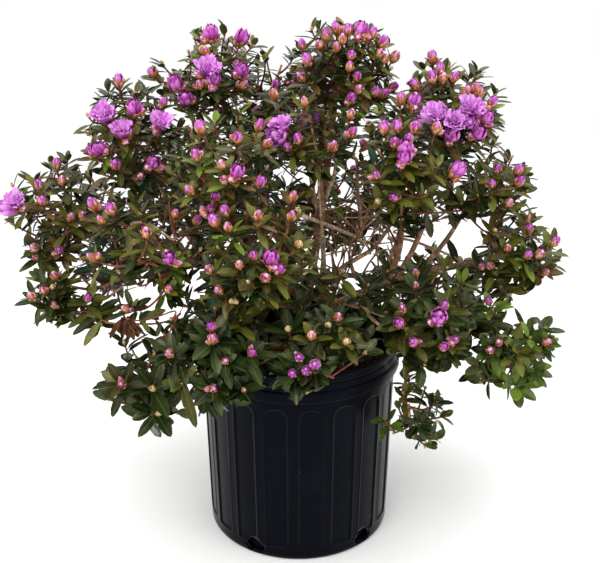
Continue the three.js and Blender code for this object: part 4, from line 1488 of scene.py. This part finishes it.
buds = Gathered()
shut_buds = Gathered()
for tip in tips:
    draw = numbers(BUD_SEED + tip["seed"])
    stage, axis, foot = tip["stage"], tip["axis"], tip["tip"] - BUD_SUNK * tip["axis"]
    if stage == "open":
        continue
    tall, wide = BUD_SIZES[stage]
    grown = 0.95 + 0.3 * draw()
    shape = buds if stage in ("coloured", "half") else shut_buds
    add_bud(shape, foot, axis, (tall * grown, wide * grown * (0.92 + 0.16 * draw())), stage, draw)
    beside_it = {
        "half": 2,
        "coloured": int(1.5 * draw()),
        "pink": int(1.6 * draw()),
        "tan": int(1.4 * draw()),
    }
    for k in range(beside_it.get(stage, 0)):
        turn = math.pi * k + 4 * draw()
        tilted = leaning(axis, beside(axis), math.cos(0.75 + 0.35 * draw()), turn)
        small = ((0.6 + 0.2 * draw()) * tall, (0.7 + 0.12 * draw()) * wide)
        add_bud(shut_buds, foot + 2 * tilted, tilted, small, "pink" if stage != "tan" else "tan", draw)

# Folded petals: thin and matt with a satin sheen, magenta-violet, lighter at the tip where light comes in.
petal, shader = new_material("violet_folded_petal", Roughness=0.5, Specular_IOR_Level=0.3)
violets = [(0.0, "#701a60"), (0.5, "#a63a9a"), (1.0, "#c874c4")]
grained(petal, shader, 3, 3, violets, (0.35, 0.6), ("edge", "tone"), (0.7, 2.1))

# Bud scales: papery, peach to rust when they part, tan to cream when shut, with a paler tip, and a painted
# shade at the foot and sides of each scale where the next one overlaps it.
scale_materials = []
for name, *shades_of_scale in (
    ("peach_bud_scale", "#56260f", "#98522a", "#bf7f55", "#dcb196"),
    ("tan_bud_scale", "#6b4326", "#a87a49", "#cfae78", "#e6d6aa"),
    ("blush_petal_tip", "#7a3350", "#a85c78", "#cb8ea2", "#e4bcc4"),
):
    papery, shader = new_material(name, Roughness=0.55, Specular_IOR_Level=0.35)
    ladder = list(zip((0.0, 0.35, 0.7, 1.0), shades_of_scale))
    grained(papery, shader, 4, 3, ladder, (0.4, 0.5), ("edge", "tone"), (0.5, 2.2))
    scale_materials.append(papery)

foliage_piece(buds, "flower_buds", [petal, *scale_materials], sharp=60)
foliage_piece(shut_buds, "shut_buds", [petal, *scale_materials], sharp=60)

# Blossom. An open head holds one full flower, one that is half open and two buds; the flowers are ruffled
# double whorls of lavender petals, thin and wavy at the rim, with a painted shade of deeper violet in the
# throat.
PETAL_LENGTH = 29
PETAL_WIDTH = 20
PETAL_ROWS = 6
PETAL_COLUMNS = 9
PETAL_RUFFLE = 1.9
FLOWER_SEED = 60000
PETAL_STATIONS = (0, 0.3, 0.6, 0.8, 1)
PETAL_OUTLINE = (0.2, 0.6, 0.95, 1, 0.8)
# Whorls of one flower as number of petals, their size and how far they open; then the buds beside it
FLOWER_WHORLS = ((6, 1.0, 1.15), (5, 0.92, 0.8), (5, 0.74, 0.45))
HEAD_BUDS = (("wide", 24, 20), ("pink", 14, 10), ("pink", 14, 10))


def add_petal(shape, foot, axis, out, length, width, opening, ruffle, phase, tone):
    """Adds one petal that rises from the throat, rolls outward and waves along its rounded rim."""
    across = np.cross(axis, out)
    along = np.linspace(0, 1, PETAL_ROWS)
    angles = opening * (0.3 + 0.8 * along**1.3)
    middle = foot.copy()
    points = []
    for share, angle in zip(along, angles):
        heading = axis * math.cos(angle) + out * math.sin(angle)
        above = axis * math.sin(angle) - out * math.cos(angle)
        half = 0.5 * width * np.interp(share, PETAL_STATIONS, PETAL_OUTLINE)
        for v in np.linspace(-1, 1, PETAL_COLUMNS):
            wave = ruffle * share**1.5 * math.sin(3 * math.pi * v + phase)
            drawn_back = share**3 * length * (0.26 * v * v + 0.04 * math.sin(4 * math.pi * v + 2 * phase))
            cupped = above * (wave + 0.25 * half * v * v)
            points.append(middle + across * half * v + cupped - heading * drawn_back)
        middle = middle + heading * length / (PETAL_ROWS - 1)
    # The edge mark runs from 0 at the throat to 1 at the rim: the lavender darkens towards the throat as
    # painted shade and pales at the rim as painted light through the thin petal.
    edge = np.repeat(along, PETAL_COLUMNS)
    faces = grid_faces(PETAL_ROWS, PETAL_COLUMNS, closed=False)
    shape.add(np.array(points), [faces], 0, edge=edge, tone=np.full(len(edge), tone))


def add_flower(shape, foot, axis, size, draw):
    """Adds one double flower: an outer whorl laid open, a middle one and a crumpled heart."""
    side = beside(axis)
    for count, scale, opening in FLOWER_WHORLS:
        start = 6 * draw()
        for k in range(count):
            turn = start + 2 * math.pi * k / count + 0.35 * (draw() - 0.5)
            out = leaning(axis, side, 0, turn)
            length = PETAL_LENGTH * size * scale * (0.85 + 0.3 * draw())
            width = PETAL_WIDTH * size * scale * (0.85 + 0.3 * draw())
            opened = opening * (0.85 + 0.3 * draw())
            add_petal(shape, foot, axis, out, length, width, opened, PETAL_RUFFLE * size, 6 * draw(), draw())


blossom = Gathered()
for tip in tips:
    if tip["stage"] != "open":
        continue
    draw = numbers(FLOWER_SEED + tip["seed"])
    axis, side = tip["axis"], beside(tip["axis"])
    add_flower(blossom, tip["tip"] + 2 * axis, axis, 0.9 + 0.15 * draw(), draw)
    for kind, tall, wide in HEAD_BUDS:
        tilted = leaning(axis, side, math.cos(0.85 + 0.3 * draw()), 6.28 * draw())
        size = 0.9 + 0.25 * draw()
        add_bud(blossom, tip["tip"] - axis + 2 * tilted, tilted, (tall * size, wide * size), kind, draw)

# Open petals: soft and thin, so they read pale and bright at the rim and deep in the folds.
lavender, shader = new_material("lavender_petal", Roughness=0.55, Specular_IOR_Level=0.25)
lavenders = [(0.0, "#8f2a8c"), (0.4, "#bd5cbd"), (0.85, "#d896da")]
grained(lavender, shader, 5, 3, lavenders, (0.35, 0.6), ("edge", "tone"), (0.6, 2.2))

foliage_piece(blossom, "open_blossom", [lavender, *scale_materials], sharp=80)

# Withered leaves. A dead shoot tip below the left side still holds a bunch of dry, curled, brown leaves,
# and one leaf near the middle has dried as well.
WITHERED_AT = (121, 318)
WITHERED_COUNT = 24
DRIED_LEAF = ((371, 146), (359, 151))
DRIED_LEAF_SIZE = (22, 9)
WITHERED_SEED = 800
withered = Gathered()
draw = numbers(WITHERED_SEED)
hung = on_stem(WITHERED_AT)
for k in range(WITHERED_COUNT):
    direction = unit(np.array([1.3 * (draw() - 0.4), 0.8 * (draw() - 0.5), -1.0 + 0.5 * draw()]))
    root = hung + np.array([14 * (draw() - 0.3), 6 * (draw() - 0.5), 3 * (draw() - 0.5)])
    facing = np.array([draw() - 0.5, -0.8, 0.5 * draw()])
    length = 22 + 20 * draw()
    width, fold, curl = 5 + 4 * draw(), 0.9 + 0.6 * draw(), 0.25 * draw()
    add_leaf(withered, root, direction, facing, length, width, fold, curl, draw())
stalk = wood_near(DRIED_LEAF[0])
heading = seen_from(DRIED_LEAF[1], depth_of(stalk)) - stalk
add_leaf(withered, stalk, unit(heading), np.array([0, -0.6, 0.8]), *DRIED_LEAF_SIZE, 0.2, 0.1, 0.5)

# Dry leaf: papery and dull, from dark umber to a dusty brown.
dry_leaf, shader = new_material("dry_brown_leaf", Roughness=0.8, Specular_IOR_Level=0.25)
umbers = [(0.0, "#2b180f"), (0.5, "#5a3624"), (1.0, "#8a6047")]
grained(dry_leaf, shader, 7, 4, umbers, (0.6, 1), ("tone",), (0.3, 1.5))

foliage_piece(withered, "withered_leaves", [dry_leaf, dry_leaf], sharp=70)

# Studio. A floor of plain white paper in a white room, with broad soft lamps above, in front and at both
# sides, so that the shadow under the pot stays faint.
FLOOR_SIZE = 6.0
LAMP_AIM = (0, 0, 0.4)
floor_mesh = bpy.data.meshes.new("floor")
half = FLOOR_SIZE / 2
floor_mesh.from_pydata(
    [(-half, -half, 0), (half, -half, 0), (half, half, 0), (-half, half, 0)], [], [(0, 1, 2, 3)]
)
paper, shader = new_material("white_paper", Roughness=0.9, Base_Color=linear("#f4f4f3"))
floor_mesh.materials.append(paper)
floor = bpy.data.objects.new("floor", floor_mesh)
bpy.context.collection.objects.link(floor)

LAMPS = [
    ("key_lamp", (-0.9, -1.5, 2.2), 1.4, 34),
    ("fill_lamp", (1.6, -0.8, 1.4), 1.6, 12),
    ("top_lamp", (0.2, 0.5, 2.4), 1.6, 22),
    ("side_lamp", (-1.9, -0.5, 0.8), 1.2, 8),
]
for name, spot, size, power in LAMPS:
    lamp_data = bpy.data.lights.new(name, "AREA")
    lamp_data.size = size
    lamp_data.energy = power
    lamp = bpy.data.objects.new(name, lamp_data)
    lamp.location = spot
    lamp.rotation_euler = (Vector(LAMP_AIM) - Vector(spot)).to_track_quat("-Z", "Y").to_euler()
    bpy.context.collection.objects.link(lamp)

room = bpy.data.worlds.new("white_room")
room.use_nodes = True
room.node_tree.nodes["Background"].inputs["Color"].default_value = (1, 1, 1, 1)
room.node_tree.nodes["Background"].inputs["Strength"].default_value = 1.0
bpy.context.scene.world = room
bpy.context.scene.view_settings.view_transform = "Standard"
